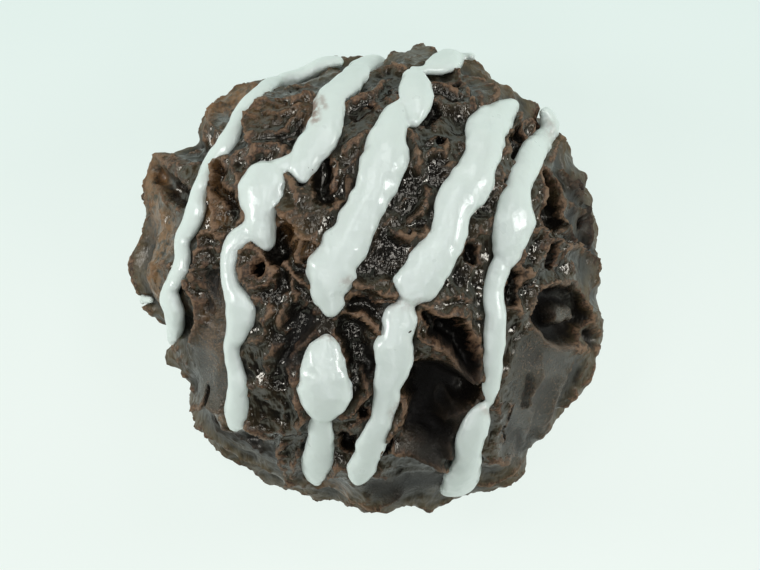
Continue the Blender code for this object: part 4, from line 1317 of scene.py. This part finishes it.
def studio_world():
    """Pale walls all round and a dark ceiling, which the chocolate mirrors."""
    world = bpy.data.worlds.new("studio")
    world.use_nodes = True
    tree = world.node_tree
    direction = tree.nodes.new("ShaderNodeTexCoord")
    split = tree.nodes.new("ShaderNodeSeparateXYZ")
    ramp = tree.nodes.new("ShaderNodeValToRGB")
    tree.links.new(direction.outputs["Generated"], split.inputs[0])
    tree.links.new(split.outputs["Z"], ramp.inputs[0])
    ramp.color_ramp.elements[0].color = (0.78, 0.84, 0.72, 1.0)
    ramp.color_ramp.elements[1].position = 0.4
    ramp.color_ramp.elements[1].color = (0.02, 0.025, 0.025, 1.0)
    tree.links.new(ramp.outputs["Color"], tree.nodes["Background"].inputs["Color"])
    return world


def floor_material(colours):
    """A pale floor that glows as evenly as the photograph's, a little darker towards the upper edge."""
    shader = Shader("floor")
    up = shader.node("ShaderNodeSeparateXYZ", {}, {0: shader.millimetres()}, "Y")
    colour = shader.mix(shader.ramp(up, *FLOOR_FADE), colours.floor, colours.floor_far)
    shader.finish({"Base Color": (0.1, 0.1, 0.1), "Roughness": 0.8, "Emission Color": colour,
                   "Emission Strength": FLOOR_GLOW})
    return shader.material


class PRALINE_OT_stage(bpy.types.Operator):
    """Add the pale floor, the soft lights and the camera"""

    bl_idname = "praline.stage"
    bl_label = "Stage"

    def execute(self, context):
        start_clean()
        bpy.ops.mesh.primitive_plane_add(size=FLOOR_SIZE)
        floor = context.object
        floor.name = "floor"
        floor.data.materials.append(floor_material(context.scene.praline_colours))
        context.scene.world = studio_world()
        for i, (azimuth, elevation, size, power) in enumerate(LAMPS):
            turn, tilt = math.radians(azimuth), math.radians(elevation)
            level = LAMP_DISTANCE * math.cos(tilt)
            spot = (level * math.cos(turn), level * math.sin(turn), LAMP_DISTANCE * math.sin(tilt))
            area_light(f"lamp {i + 1}", spot, size, power)
        height = CAMERA_HEIGHT * MM
        across = PHOTO_SIZE[0] / PIXELS_PER_MM * MM
        spot = (*metres_at(PHOTO_SIZE[0] / 2.0, PHOTO_SIZE[1] / 2.0), height)
        bpy.ops.object.camera_add(location=spot, rotation=(0.0, 0.0, 0.0))
        camera = context.object
        camera.data.sensor_width = SENSOR
        camera.data.lens = SENSOR * (height - context.scene.praline_form.belly_height) / across
        context.scene.camera = camera
        context.scene.view_settings.view_transform = "Standard"
        return {"FINISHED"}


class PRALINE_PT_panel(bpy.types.Panel):
    """The praline's steps, sizes and colours"""

    bl_idname = "PRALINE_PT_panel"
    bl_label = "Chocolate praline"
    bl_space_type = "VIEW_3D"
    bl_region_type = "UI"
    bl_category = "Praline"

    def draw(self, context):
        for operator in OPERATORS:
            self.layout.operator(operator.bl_idname)
        for group in (context.scene.praline_form, context.scene.praline_colours):
            for name in group.bl_rna.properties.keys():
                if name not in ("rna_type", "name"):
                    self.layout.prop(group, name)


OPERATORS = (PRALINE_OT_stage, PRALINE_OT_chocolate, PRALINE_OT_icing, PRALINE_OT_crumbs)
CLASSES = (PralineForm, PralineColours, *OPERATORS, PRALINE_PT_panel)


def register():
    """Adds the classes and the scene's settings to Blender."""
    for kind in CLASSES:
        bpy.utils.register_class(kind)
    bpy.types.Scene.praline_form = PointerProperty(type=PralineForm)
    bpy.types.Scene.praline_colours = PointerProperty(type=PralineColours)


def unregister():
    """Takes them away again."""
    del bpy.types.Scene.praline_colours
    del bpy.types.Scene.praline_form
    for kind in reversed(CLASSES):
        bpy.utils.unregister_class(kind)


def main():
    """Runs every step in order."""
    register()
    bpy.ops.praline.stage()
    bpy.ops.praline.chocolate()
    bpy.ops.praline.icing()
    bpy.ops.praline.crumbs()


if __name__ == "__main__":
    main()
